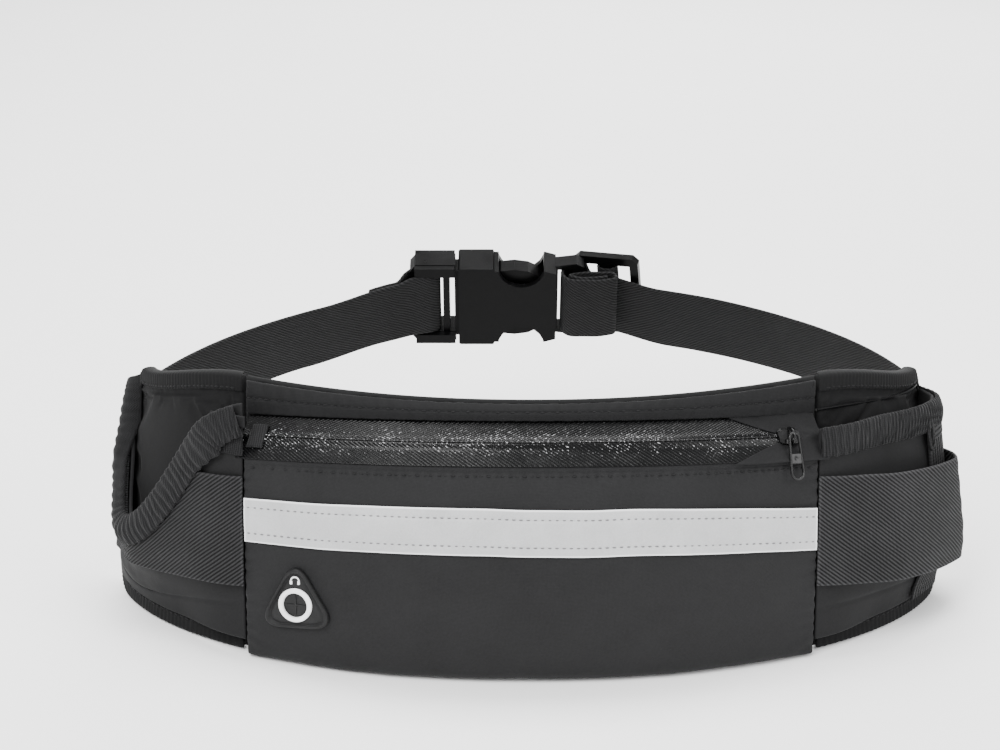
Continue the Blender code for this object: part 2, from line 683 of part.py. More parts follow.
AD_NEAR = STRAP_T / 2 + 1.3
adjuster = prism("strap_adjuster",
                 [(-17, -22), (-14, -25), (14, -25), (17, -22), (17, 22), (14, 25), (-14, 25), (-17, 22)],
                 AD_NEAR, AD_NEAR + 4.2, M_PLASTIC, point=ad, origin=AD_O)
for k, (x0, x1) in enumerate(((-12.5, -2.5), (2.5, 12.5))):
    boolean(adjuster, prism("cut_adjuster_slot_%d" % k, rect(x0, x1, -20.2, 20.2), -5, 16, M_PLASTIC, point=ad,
                            cutter=True))

# plain facts of the moving pieces' axes, for a reader at the console
for label, value in (("prong pin", bk(*PRONG_PIN, 0)), ("prong pin low", bk(PRONG_PIN[0], -PRONG_PIN[1], 0)),
                     ("prong axis", -BK_N), ("adjuster", AD_O), ("zip centre", ZIP_C), ("zip axis", ZIP_A),
                     ("pull pin", PULL_PIN), ("pull axis", pull_frame_x)):
    if "axis" in label:
        print(label, [round(c, 6) for c in value])
    else:
        print(label, [round(c, 6) for c in to_world(value)])
print("zip half angle", math.degrees(ZIP_END), "slider", math.degrees(SLIDER_AT))
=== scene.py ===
"""Looks of the running waist pack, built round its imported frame."""
import math

import bmesh
import bpy
import numpy as np
from mathutils import Matrix, Vector


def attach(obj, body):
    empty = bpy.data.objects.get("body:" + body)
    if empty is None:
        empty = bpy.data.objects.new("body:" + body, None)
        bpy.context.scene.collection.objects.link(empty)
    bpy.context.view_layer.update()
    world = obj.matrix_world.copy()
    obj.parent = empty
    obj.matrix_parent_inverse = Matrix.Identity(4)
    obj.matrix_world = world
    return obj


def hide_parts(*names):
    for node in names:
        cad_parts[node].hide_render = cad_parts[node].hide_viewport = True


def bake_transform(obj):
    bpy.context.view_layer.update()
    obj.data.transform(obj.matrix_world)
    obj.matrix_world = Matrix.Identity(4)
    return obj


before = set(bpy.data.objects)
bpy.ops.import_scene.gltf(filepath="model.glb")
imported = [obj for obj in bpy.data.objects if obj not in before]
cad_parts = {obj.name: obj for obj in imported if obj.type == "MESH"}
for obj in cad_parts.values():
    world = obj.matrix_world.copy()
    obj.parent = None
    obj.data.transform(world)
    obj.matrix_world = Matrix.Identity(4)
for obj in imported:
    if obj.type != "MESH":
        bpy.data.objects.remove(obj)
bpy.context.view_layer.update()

MM = 0.001
SHIFT = np.array([-1.631, -134.015, 0.0])      # design frame to row frame, mm

# ------------------------------------------------------------- design frame --
SEAM = 126.0
PACK_H = 118.0
PAD_T = 4.2
LOW = (196.0, 113.0, 121.0)
TOP = (179.0, 84.0, 126.5)


def lerp(a, b, t):
    return a + (b - a) * t


def sm(t):
    t = np.clip(t, 0.0, 1.0)
    return t * t * (3 - 2 * t)


def ell(spec, deg):
    t = np.radians(deg)
    return spec[0] * np.sin(t), spec[2] - spec[1] * np.cos(t)


def first(spec):
    return math.degrees(math.asin(SEAM / spec[0]))


def wing_raw(u, z):
    ax, ay = ell(LOW, lerp(first(LOW), 86.0, u))
    bx, by = ell(TOP, lerp(first(TOP), 86.0, u))
    v = z / PACK_H
    return np.stack([lerp(ax, bx, v), lerp(ay, by, v), z + 0 * u], -1)


def unit(v):
    return v / np.maximum(np.linalg.norm(v, axis=-1, keepdims=True), 1e-9)


def wing(u, z, out, side):
    u = np.asarray(u, float)
    z = np.asarray(z, float)
    u, z = np.broadcast_arrays(u, z)
    p = wing_raw(u, z)
    d = wing_raw(u + 0.004, z) - wing_raw(u - 0.004, z)
    n = unit(np.cross(d, np.array([0, 0, 1.0])))
    k = sm(u / 0.16)[..., None]
    n = unit(lerp(np.array([0.0, -1.0, 0.0]), n, k))
    p = p + n * np.asarray(out)[..., None]
    return p * np.array([side, 1.0, 1.0])


def wing_top(u):
    return 118.0 - 13.0 * sm(u / 0.9) - 14.0 * sm((u - 0.86) / 0.14)


def wing_bottom(u):
    k = np.clip((u - 0.72) / 0.28, 0, 1)
    return 34.0 * (1 - np.sqrt(np.maximum(0, 1 - k ** 2)))


def pad_y(x, z):
    k = np.abs(x) / SEAM
    low = lerp(18.0, ell(LOW, first(LOW))[1], k ** 2.8)
    top = lerp(37.0, ell(TOP, first(TOP))[1], k ** 2.1)
    return lerp(low, top, z / PACK_H)


def front_y(x, z):
    w = 1 - np.clip(np.abs(x) / SEAM, 0, 1) ** 2.2
    return lerp(27 + 0.08 * z + 0.0009 * z * z, -3.0 + 0.0045 * (z - 36.0) ** 2, w)


def pocket_out(u, z):
    seam = np.maximum(pad_y(SEAM, z) - front_y(SEAM, z), 0) * 0.90
    full = 2.3 + 9.2 * sm((z - 4) / 34) * (1 - 0.75 * sm((u - 0.70) / 0.30))
    return lerp(seam, full, sm(u / 0.30))


# zip arc
RISE = (25.0, -7.0)
REACH = math.hypot(*RISE)
ZE = np.array([0.0, RISE[0] / REACH, RISE[1] / REACH])
ZA = np.array([0.0, -RISE[1] / REACH, RISE[0] / REACH])
ZR = (118.0 ** 2 + REACH ** 2) / (2 * REACH)
ZC = np.array([0.0, 22.0, 104.0]) + ZE * ZR
ZEND = math.asin(118.0 / ZR)
T0, T1 = (4.85, -8.63), (-7.05, 8.20)
TD = np.array([T1[0] - T0[0], T1[1] - T0[1]])
TL = float(np.hypot(*TD))


def zip_pt(a, s, lift):
    """a: angle along the arc, s: 0 lower tape edge to 1 upper, lift: off the tape."""
    a, s, lift = np.broadcast_arrays(np.asarray(a, float), np.asarray(s, float), np.asarray(lift, float))
    out = T0[0] + TD[0] * s + lift * TD[1] / TL
    up = T0[1] + TD[1] * s - lift * TD[0] / TL
    r = np.stack([np.sin(a), -ZE[1] * np.cos(a), -ZE[2] * np.cos(a)], -1)
    return ZC + r * (ZR + out)[..., None] + ZA * up[..., None]


# straps and buckle
RCONE, LCONE = (-10.7, 61.7, 195.0), (-46.3, 27.1, 237.0)
RRUN, LRUN = (12.6, 72.3), (27.2, 67.3)
LEAN = 21.0


def cone(c, deg, z, out, side, lean):
    a = np.radians(deg)
    rho = c[2] + (100 - z) * np.tan(np.radians(lean)) + out
    return np.stack([(c[0] + rho * np.sin(a)) * side, c[1] + rho * np.cos(a), z + 0 * a], -1)


def lean_at(run, d):
    return lerp(LEAN, 8.0, sm((d - (run[1] - 28)) / 26.0))


def mid_at(run, d, rise):
    return 100 - 19 * math.cos(math.radians(LEAN)) + rise * (1 - sm((d - run[0]) / 12.0))


BV = np.array([0, -math.sin(math.radians(20)), math.cos(math.radians(20))])
BN = np.array([0, -math.cos(math.radians(20)), -math.sin(math.radians(20))])
BO = np.array([0.0, 251.0, 92.0])
BX = np.array([1.0, 0, 0])


def bk(x, v, n):
    return BO + BX * x + BV * v + BN * n


aa = math.radians(15.6)
AO = cone(RCONE, np.array(15.6), np.array(91.0), 0.0, 1, LEAN)
AX = np.array([math.cos(aa), -math.sin(aa), 0])
AR = np.array([math.sin(aa), math.cos(aa), 0])
AV = unit(np.array([0, 0, math.cos(math.radians(LEAN))]) - AR * math.sin(math.radians(LEAN)))
AN = unit(np.cross(AX, AV))


def ad(x, v, n):
    return AO + AX * x + AV * v - AN * n


# ------------------------------------------------------------------- noise --
def value_noise(a, b, seed, size):
    """Smooth repeatable noise in -1..1 of two arrays in millimetres."""
    table = np.random.RandomState(seed).uniform(-1, 1, (64, 64))
    x, y = np.asarray(a) / size, np.asarray(b) / size
    i, j = np.floor(x).astype(int), np.floor(y).astype(int)
    fx, fy = x - i, y - j
    fx, fy = fx * fx * (3 - 2 * fx), fy * fy * (3 - 2 * fy)
    g = lambda p, q: table[p % 64, q % 64]
    return lerp(lerp(g(i, j), g(i + 1, j), fx), lerp(g(i, j + 1), g(i + 1, j + 1), fx), fy)


# ---------------------------------------------------------------- meshing ----
ALL = []


def new_object(name, verts, faces, mat, attrs=None, smooth=None):
    mesh = bpy.data.meshes.new(name)
    mesh.from_pydata(((np.asarray(verts, float) + SHIFT) * MM).tolist(), [], [tuple(int(i) for i in f) for f in faces])
    mesh.validate()
    for key, val in (attrs or {}).items():
        val = np.asarray(val, np.float32)
        kind = "FLOAT_VECTOR" if val.ndim == 2 else "FLOAT"
        at = mesh.attributes.new(key, kind, "POINT")
        at.data.foreach_set("vector" if val.ndim == 2 else "value", val.ravel())
    bm = bmesh.new()
    bm.from_mesh(mesh)
    bmesh.ops.recalc_face_normals(bm, faces=bm.faces)
    if bm.calc_volume(signed=True) < 0:
        bmesh.ops.reverse_faces(bm, faces=bm.faces)
    bm.to_mesh(mesh)
    bm.free()
    mesh.shade_smooth()
    if smooth:
        mesh.set_sharp_from_angle(angle=math.radians(smooth))
    obj = bpy.data.objects.new(name, mesh)
    bpy.context.scene.collection.objects.link(obj)
    for m in (mat if isinstance(mat, (list, tuple)) else [mat]):
        mesh.materials.append(m)
    ALL.append(obj)
    return obj


def samples(n, length, r):
    """Places from 0 to 1 with extra ones in a rounded edge, and the edge's profile."""
    k = 4
    a = np.pi / 2 * np.arange(k) / k
    e = (1 - np.cos(a)) * r / length
    mid = np.linspace(r / length, 1 - r / length, n)
    return np.concatenate([e, mid, (1 - e)[::-1]]), np.concatenate([np.sin(a), np.ones(n), np.sin(a)[::-1]])


def slab(name, fn, lu, lv, nu, nv, thick, mat, disp=None, flip=False, crown=None, back_mat=False):
    """A closed sheet with rounded edges round a middle surface fn(u, v), u and v in 0..1.
    disp moves both faces, crown swells the thickness; both are functions of (u mm, v mm)."""
    us, pu = samples(nu, lu, min(thick * 0.5, lu * 0.2))
    vs, pv = samples(nv, lv, min(thick * 0.5, lv * 0.2))
    U, V = np.meshgrid(us, vs, indexing="ij")
    P = fn(U, V)
    P0 = P
    n = unit(np.cross(np.gradient(P, axis=0), np.gradient(P, axis=1)))
    if flip:
        n = -n
    if disp is not None:
        P = P + n * disp(U * lu, V * lv)[..., None]
        n = unit(np.cross(np.gradient(P, axis=0), np.gradient(P, axis=1)))
        if flip:
            n = -n
    prof = pu[:, None] * pv[None, :]
    t = thick * np.ones_like(prof)
    if crown is not None:
        t = t + crown(U * lu, V * lv)
    F = P + n * (t / 2 * prof)[..., None]
    B = P - n * (t / 2 * prof)[..., None]
    nu_, nv_ = prof.shape
    idx = np.arange(nu_ * nv_).reshape(nu_, nv_)
    inner = prof > 1e-6
    bidx = idx.copy()
    bidx[inner] = nu_ * nv_ + np.arange(inner.sum())
    verts = np.concatenate([F.reshape(-1, 3), B[inner]])
    run = np.concatenate([0 * U[:1], np.cumsum(np.linalg.norm(np.diff(P0, axis=0), axis=-1), axis=0)])
    rise = np.concatenate([0 * U[:, :1], np.cumsum(np.linalg.norm(np.diff(P0, axis=1), axis=-1), axis=1)], axis=1)
    cloth = np.stack([run, rise, 0 * U], -1)
    clothb = cloth[inner].copy()
    clothb[:, 2] = 1
    edge = np.minimum(np.minimum(U * lu, (1 - U) * lu), np.minimum(V * lv, (1 - V) * lv))
    a, b, c, d = idx[:-1, :-1], idx[1:, :-1], idx[1:, 1:], idx[:-1, 1:]
    front = np.stack([a, b, c, d], -1).reshape(-1, 4)
    a, b, c, d = bidx[:-1, :-1], bidx[1:, :-1], bidx[1:, 1:], bidx[:-1, 1:]
    back = np.stack([a, d, c, b], -1).reshape(-1, 4)
    obj = new_object(name, verts, np.concatenate([front, back]), mat,
                     {"cloth": np.concatenate([cloth.reshape(-1, 3), clothb]),
                      "edge": np.concatenate([edge.ravel(), edge[inner]])})
    if back_mat:
        ids = np.zeros(len(obj.data.polygons), np.int32)
        ids[len(front):] = 1
        obj.data.polygons.foreach_set("material_index", ids)
    return obj


def path_slab(name, centres, widths, width, thick, mat, n=120, nv=8, disp=None, flip=False):
    """A webbing strip along a smooth path, with a width direction at each knot."""
    C, W = np.asarray(centres, float), unit(np.asarray(widths, float))
    seg = np.linalg.norm(np.diff(C, axis=0), axis=1)
    s = np.concatenate([[0], np.cumsum(seg)])
    length = s[-1]

    def cat(K, q):
        i = np.clip(np.searchsorted(s, q, side="right") - 1, 0, len(s) - 2)
        t = ((q - s[i]) / (s[i + 1] - s[i]))[..., None]
        m = np.gradient(K, s, axis=0)
        h = (s[i + 1] - s[i])[..., None]
        t2, t3 = t * t, t * t * t
        return ((2 * t3 - 3 * t2 + 1) * K[i] + (t3 - 2 * t2 + t) * h * m[i]
                + (-2 * t3 + 3 * t2) * K[i + 1] + (t3 - t2) * h * m[i + 1])

    def fn(U, V):
        c = cat(C, U * length)
        w = unit(cat(W, U * length))
        return c + w * ((V - 0.5) * width)[..., None]
    return slab(name, fn, length, width, n, nv, thick, mat, disp=disp, flip=flip)


def stitches(name, pts, ups, mat, length=2.3, wide=0.75, high=0.5, sink=0.15, skip=()):
    """Rows of thread stitches: pts are their middles in order, ups the cloth's outward."""
    pts, ups = np.asarray(pts, float), unit(np.asarray(ups, float))
    d = unit(np.gradient(pts, axis=0))
    side = unit(np.cross(ups, d))
    rings, segs = 5, 8
    verts, faces, cloth = [], [], []
    for i in range(len(pts)):
        if i in skip:
            continue
        base = len(verts)
        for r in range(rings):
            t = -1 + 2 * r / (rings - 1)
            w = math.sqrt(max(0.0, 1 - abs(t) ** 3)) if r not in (0, rings - 1) else 0.25
            drop = -0.45 * high * t * t
            for k in range(segs):
                q = 2 * math.pi * k / segs
                verts.append(pts[i] + d[i] * (t * length / 2) + side[i] * (math.cos(q) * wide / 2 * w)
                             + ups[i] * (math.sin(q) * high / 2 * w + drop + high / 2 - sink))
                cloth.append((i * 7.0 + t * length, math.cos(q) * wide, 0))
        for r in range(rings - 1):
            for k in range(segs):
                a, b = base + r * segs + k, base + r * segs + (k + 1) % segs
                faces.append((a, b, b + segs, a + segs))
        faces.append(tuple(base + k for k in reversed(range(segs))))
        faces.append(tuple(base + (rings - 1) * segs + k for k in range(segs)))
    return new_object(name, verts, faces, mat, {"cloth": cloth, "edge": np.ones(len(verts))})


# --------------------------------------------------------------- materials ---
class Nodes:
    def __init__(self, name):
        self.mat = bpy.data.materials.new(name)
        self.mat.use_nodes = True
        self.t = self.mat.node_tree
        self.bsdf = self.t.nodes["Principled BSDF"]

    def node(self, kind, **props):
        n = self.t.nodes.new(kind)
        for k, v in props.items():
            setattr(n, k, v)
        return n

    def link(self, a, b):
        self.t.links.new(a, b)

    def put(self, sock, v):
        if isinstance(v, bpy.types.NodeSocket):
            self.link(v, sock)
        else:
            sock.default_value = v

    def math(self, op, a, b=0.0, c=None):
        n = self.node("ShaderNodeMath", operation=op)
        self.put(n.inputs[0], a)
        self.put(n.inputs[1], b)
        if c is not None:
            self.put(n.inputs[2], c)
        return n.outputs[0]

    def cloth(self):
        a = self.node("ShaderNodeAttribute", attribute_name="cloth")
        s = self.node("ShaderNodeSeparateXYZ")
        self.link(a.outputs["Vector"], s.inputs[0])
        return s.outputs[0], s.outputs[1], a.outputs["Vector"]

    def attr(self, name):
        return self.node("ShaderNodeAttribute", attribute_name=name).outputs["Fac"]

    def wave(self, x, y, angle, pitch, power=1.0):
        """0..1 ridges across a direction, pitch in millimetres."""
        a = math.radians(angle)
        k = 2 * math.pi / pitch
        q = self.math("ADD", self.math("MULTIPLY", x, k * math.cos(a)), self.math("MULTIPLY", y, k * math.sin(a)))
        w = self.math("ADD", self.math("MULTIPLY", self.math("SINE", q), 0.5), 0.5)
        return self.math("POWER", w, power) if power != 1.0 else w

    def noise(self, vec, scale, detail=4.0, rough=0.6):
        n = self.node("ShaderNodeTexNoise")
        if vec is not None:
            self.link(vec, n.inputs["Vector"])
        n.inputs["Scale"].default_value = scale
        n.inputs["Detail"].default_value = detail
        n.inputs["Roughness"].default_value = rough
        return n.outputs["Fac"]

    def where(self):
        return self.node("ShaderNodeTexCoord").outputs["Object"]

    def mix(self, f, a, b):
        n = self.node("ShaderNodeMix", data_type="RGBA")
        self.put(n.inputs["Factor"], f)
        for sock, v in ((n.inputs["A"], a), (n.inputs["B"], b)):
            if isinstance(v, tuple):
                sock.default_value = (*v, 1.0)
            else:
                self.link(v, sock)
        return n.outputs["Result"]

    def span(self, f, lo, hi, a=0.0, b=1.0):
        n = self.node("ShaderNodeMapRange")
        self.put(n.inputs["Value"], f)
        n.inputs["From Min"].default_value = lo
        n.inputs["From Max"].default_value = hi
        n.inputs["To Min"].default_value = a
        n.inputs["To Max"].default_value = b
        return n.outputs["Result"]

    def bump(self, h, strength, dist, base=None):
        n = self.node("ShaderNodeBump")
        n.inputs["Strength"].default_value = strength
        n.inputs["Distance"].default_value = dist
        self.link(h, n.inputs["Height"])
        if base is not None:
            self.link(base, n.inputs["Normal"])
        return n.outputs["Normal"]

    def out(self, colour, rough, normal=None, sheen=0.0, sheen_rough=0.5, metallic=0.0, spec=0.5, coat=0.0,
            coat_rough=0.2):
        b = self.bsdf
        self.put(b.inputs["Base Color"], colour if not isinstance(colour, tuple) else (*colour, 1.0))
        self.put(b.inputs["Roughness"], rough)
        if normal is not None:
            self.link(normal, b.inputs["Normal"])
        b.inputs["Sheen Weight"].default_value = sheen
        b.inputs["Sheen Roughness"].default_value = sheen_rough
        b.inputs["Metallic"].default_value = metallic
        b.inputs["Specular IOR Level"].default_value = spec
        b.inputs["Coat Weight"].default_value = coat
        b.inputs["Coat Roughness"].default_value = coat_rough
        return self.mat


def knit(name, base, light, rough=0.72, grain=1.0, sheen=0.03):
    """Smooth lycra-faced neoprene: a hair-fine knit over a soft mottle."""
    g = Nodes(name)
    x, y, v = g.cloth()
    ribs = g.wave(x, y, 90, 0.62)
    cross = g.wave(x, y, 0, 0.55)
    weave = g.math("MULTIPLY", ribs, cross)
    mott = g.noise(g.where(), 38, 5, 0.62)
    fine = g.noise(g.where(), 900, 3, 0.7)
    f = g.math("ADD", g.math("MULTIPLY", weave, 0.30), g.math("MULTIPLY", mott, 0.75))
    f = g.math("SUBTRACT", g.math("ADD", f, g.math("MULTIPLY", fine, 0.55)), 0.15)
    # the colour is lighter within 1.6 mm of the cloth's edges
    paler_edges = g.span(g.attr("edge"), 0.0, 1.6, 0.22, 0.0)
    colour = g.mix(g.math("ADD", g.span(f, 0.25, 0.85), paler_edges), base, light)
    h = g.math("ADD", g.math("MULTIPLY", weave, 0.5), g.math("MULTIPLY", fine, 0.8))
    n = g.bump(h, 0.28 * grain, 0.00022)
    n = g.bump(mott, 0.18, 0.0016, n)
    return g.out(colour, g.span(mott, 0.3, 0.7, rough - 0.06, rough + 0.08), n, sheen=sheen, sheen_rough=0.45, spec=0.13)


def twill(name, dark, light, angle, pitch, depth=0.0004, strength=0.8, rough=0.78, cross=0.75, sheen=0.02, fuzz=0.35):
    """Woven elastic with raised diagonal ribs, each broken into short threads."""
    g = Nodes(name)
    x, y, v = g.cloth()
    wob = g.math("MULTIPLY", g.math("SUBTRACT", g.noise(g.where(), 40, 2), 0.5), pitch * 0.35)
    xx = g.math("ADD", x, wob)
    ribs = g.wave(xx, y, angle, pitch, 0.8)
    threads = g.wave(xx, y, 0, cross)
    fine = g.noise(g.where(), 1400, 2, 0.7)
    mott = g.noise(g.where(), 45, 4)
    h = g.math("ADD", ribs, g.math("MULTIPLY", threads, 0.28))
    f = g.math("ADD", g.math("MULTIPLY", ribs, 0.62), g.math("MULTIPLY", threads, 0.12))
    f = g.math("ADD", f, g.math("MULTIPLY", g.math("SUBTRACT", fine, 0.5), fuzz))
    f = g.math("ADD", f, g.math("MULTIPLY", g.math("SUBTRACT", mott, 0.5), 0.35))
    lip = g.span(g.attr("edge"), 0.5, 1.1, 0.3, 0.0)
    colour = g.mix(g.math("ADD", g.span(f, 0.15, 0.85), lip), dark, light)
    n = g.bump(g.math("ADD", h, g.math("MULTIPLY", fine, 0.25)), strength, depth)
    return g.out(colour, g.span(ribs, 0, 1, rough + 0.12, rough), n, sheen=sheen, sheen_rough=0.5, spec=0.15)


def gathered(name, dark, light):
    """Fuzzy gathered elastic binding: fine cords across, soft pile."""
    g = Nodes(name)
    x, y, v = g.cloth()
    wob = g.math("MULTIPLY", g.math("SUBTRACT", g.noise(g.where(), 150, 3), 0.5), 1.6)
    ribs = g.wave(g.math("ADD", x, wob), y, 8, 1.05)
    cords = g.wave(x, y, 90, 0.9)
    fine = g.noise(g.where(), 1600, 3, 0.75)
    mott = g.noise(g.where(), 60, 4)
    f = g.math("ADD", g.math("MULTIPLY", ribs, 0.35), g.math("MULTIPLY", cords, 0.12))
    f = g.math("ADD", f, g.math("MULTIPLY", fine, 0.45))
    f = g.math("ADD", f, g.math("MULTIPLY", g.math("SUBTRACT", mott, 0.5), 0.5))
    colour = g.mix(g.span(f, 0.2, 0.95), dark, light)
    n = g.bump(g.math("ADD", g.math("ADD", ribs, g.math("MULTIPLY", cords, 0.3)), fine), 0.55, 0.00035)
    return g.out(colour, g.span(fine, 0.2, 0.8, 0.78, 0.95), n, sheen=0.06, sheen_rough=0.4, spec=0.12)


def coated(name, flip):
    """Glossy film over a chevron twill tape, with painted glints: light-grey specks mixed into its colour along the
    ridges, most towards the coil.
    """
    g = Nodes(name)
    x, y, v = g.cloth()
    ang = 58 if flip else -58
    ribs = g.wave(x, y, ang, 1.15, 1.3)
    nick = g.wave(x, y, 0, 0.85)
    fine = g.noise(g.where(), 750, 3, 0.75)
    blot = g.noise(g.where(), 95, 4, 0.6)
    h = g.math("ADD", ribs, g.math("MULTIPLY", nick, 0.35))
    h = g.math("ADD", h, g.math("MULTIPLY", fine, 0.9))
    # painted glint: light-grey specks mixed into the colour, strongest towards the coil
    glint_near_coil = g.span(y, 3.0, 10.5, 0.0, 1.0) if flip else g.span(y, 8.5, 1.0, 0.0, 1.0)
    spark = g.math("ADD", g.noise(g.where(), 1000, 2, 0.8), g.math("MULTIPLY", ribs, 0.16))
    spark = g.math("ADD", spark, g.math("MULTIPLY", g.math("SUBTRACT", g.noise(g.where(), 60, 3), 0.5), 0.35))
    spark = g.math("MULTIPLY", g.span(spark, 0.735, 0.82), g.math("ADD", g.math("MULTIPLY", glint_near_coil, 0.9), 0.06))
    colour = g.mix(g.span(ribs, 0.1, 0.9), (0.001, 0.001, 0.0011), (0.005, 0.005, 0.0053))
    colour = g.mix(spark, colour, (0.42, 0.42, 0.43))
    n = g.bump(h, 0.40, 0.00014)
    n = g.bump(blot, 0.14, 0.0010, n)
    return g.out(colour, g.span(blot, 0.3, 0.7, 0.15, 0.30), n, spec=0.14, coat=0.0, coat_rough=0.12)


def reflective(name):
    """Glass-bead reflective tape: satin grey, brighter heat-cut edges."""
    g = Nodes(name)
    x, y, v = g.cloth()
    fine = g.noise(g.where(), 1500, 2, 0.8)
    blot = g.noise(g.where(), 70, 5, 0.6)
    weave = g.math("MULTIPLY", g.wave(x, y, 0, 0.7), g.wave(x, y, 90, 0.7))
    f = g.math("ADD", g.math("MULTIPLY", fine, 0.5), g.math("MULTIPLY", blot, 0.5))
    colour = g.mix(g.span(f, 0.3, 0.7), (0.33, 0.333, 0.338), (0.45, 0.453, 0.458))
    lip = g.span(g.attr("edge"), 0.35, 0.9, 1.0, 0.0)
    colour = g.mix(lip, colour, (0.72, 0.725, 0.73))
    n = g.bump(g.math("ADD", g.math("MULTIPLY", weave, 0.4), fine), 0.25, 0.0001)
    return g.out(colour, g.span(blot, 0.3, 0.7, 0.42, 0.56), n, spec=0.5, metallic=0.0, sheen=0.1)


def airmesh(name):
    """Spacer mesh on the wearer's side: rows of small holes."""
    g = Nodes(name)
    x, y, v = g.cloth()
    row = g.wave(x, y, 60, 2.4)
    col = g.wave(x, y, -60, 2.4)
    hole = g.math("POWER", g.math("MULTIPLY", row, col), 0.8)
    fine = g.noise(g.where(), 1100, 3, 0.7)
    mott = g.noise(g.where(), 30, 4)
    colour = g.mix(g.span(hole, 0.25, 0.6), (0.014, 0.014, 0.015), (0.002, 0.002, 0.002))
    colour = g.mix(g.span(mott, 0.35, 0.7, 0.0, 0.3), colour, (0.02, 0.02, 0.021))
    h = g.math("SUBTRACT", g.math("MULTIPLY", fine, 0.3), hole)
    n = g.bump(h, 0.7, 0.0006)
    return g.out(colour, g.span(fine, 0.3, 0.7, 0.8, 0.95), n, sheen=0.03, spec=0.12)


def plastic(name, base=(0.0012, 0.0012, 0.0013), rough=0.33, grain=0.35):
    """Moulded acetal with a fine spark-eroded grain."""
    g = Nodes(name)
    w = g.where()
    fine = g.noise(w, 1300, 3, 0.7)
    blot = g.noise(w, 60, 5, 0.6)
    colour = g.mix(g.span(blot, 0.3, 0.75), base, tuple(c * 1.9 for c in base))
    n = g.bump(fine, grain, 0.00012)
    n = g.bump(blot, 0.1, 0.0008, n)
    return g.out(colour, g.span(blot, 0.3, 0.7, rough - 0.07, rough + 0.09), n, spec=0.07)


def rubber(name, base, rough=0.6):
    g = Nodes(name)
    w = g.where()
    fine = g.noise(w, 1000, 4, 0.7)
    blot = g.noise(w, 120, 4, 0.6)
    colour = g.mix(g.span(blot, 0.3, 0.7), base, tuple(min(1.0, c * 1.35 + 0.002) for c in base))
    return g.out(colour, g.span(fine, 0.3, 0.7, rough - 0.08, rough + 0.1), g.bump(fine, 0.3, 0.00012), spec=0.25)


def enamel(name):
    g = Nodes(name)
    w = g.where()
    blot = g.noise(w, 400, 5, 0.6)
    chip = g.span(g.noise(w, 900, 4, 0.8), 0.66, 0.74)
    colour = g.mix(chip, (0.003, 0.003, 0.0032), (0.06, 0.06, 0.062))
    return g.out(colour, g.span(blot, 0.3, 0.7, 0.16, 0.34), g.bump(blot, 0.15, 0.0002), metallic=0.2, spec=0.35)


def thread(name, base):
    g = Nodes(name)
    x, y, v = g.cloth()
    ply = g.wave(x, y, 45, 0.5)
    fine = g.noise(g.where(), 1500, 2)
    colour = g.mix(g.span(g.math("MULTIPLY", ply, fine), 0.1, 0.6), tuple(c * 0.6 for c in base), base)
    return g.out(colour, g.span(fine, 0.3, 0.7, 0.5, 0.7), g.bump(ply, 0.5, 0.0001), spec=0.15)


M_PANEL = knit("front_knit", (0.0065, 0.0065, 0.0068), (0.0145, 0.0145, 0.0151), grain=1.8)
M_HEM = knit("hem_knit", (0.003, 0.003, 0.0032), (0.0085, 0.0085, 0.009), grain=1.4)
M_LINING = knit("pocket_lining", (0.003, 0.003, 0.0032), (0.0075, 0.0075, 0.0078), rough=0.8)
M_POCKET = knit("pocket_knit", (0.0045, 0.0045, 0.0047), (0.0105, 0.0105, 0.0110))
M_EDGE = knit("pad_edge_binding", (0.003, 0.003, 0.0032), (0.0065, 0.0065, 0.0068), rough=0.8)
M_MESH = airmesh("spacer_mesh")
M_BAND_L = twill("side_band_left", (0.001, 0.001, 0.0011), (0.032, 0.032, 0.0335), 55, 1.5, depth=0.0006)
M_BAND_R = twill("side_band_right", (0.001, 0.001, 0.0011), (0.040, 0.040, 0.0418), 55, 1.5, depth=0.0006)
M_SLING = twill("sling_webbing", (0.003, 0.003, 0.0032), (0.020, 0.020, 0.021), 90, 2.3, depth=0.0008, cross=1.6)
M_STRAP = twill("strap_elastic_twill", (0.0022, 0.0022, 0.0023), (0.0125, 0.0125, 0.013), 62, 1.25, depth=0.0004)
M_GATHER = gathered("gathered_elastic", (0.003, 0.003, 0.0032), (0.021, 0.021, 0.022))
M_TAPE_L = coated("coated_tape_lower", True)
M_TAPE_U = coated("coated_tape_upper", False)
M_COIL = plastic("zip_coil_nylon", (0.003, 0.003, 0.0032), 0.25, 0.2)
M_REFL = reflective("reflective_tape_surface")
M_THREAD = thread("black_thread", (0.010, 0.010, 0.0105))
M_THREAD_G = thread("grey_thread", (0.20, 0.20, 0.205))
M_RUBBER = rubber("port_rubber", (0.0035, 0.0035, 0.0037))
M_WHITE = rubber("port_ring_white", (0.74, 0.74, 0.74), 0.5)
M_BUCKLE = plastic("buckle_acetal")
M_METAL = enamel("zip_enamel")
M_PIPE = plastic("glossy_piping", (0.003, 0.003, 0.0032), 0.3, 0.2)


def done(obj, body, slot, *nodes):
    if body:
        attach(obj, body)
    if nodes:
        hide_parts(*nodes)
    return obj


# ------------------------------------------------------------ wearer's side --
def quilt(a, b, la, lb):
    """A soft channel inside the border, so that the foam swells in the middle."""
    e = np.minimum(np.minimum(a, la - a), np.minimum(b, lb - b))
    return -1.3 * np.exp(-((e - 9.0) / 1.3) ** 2)


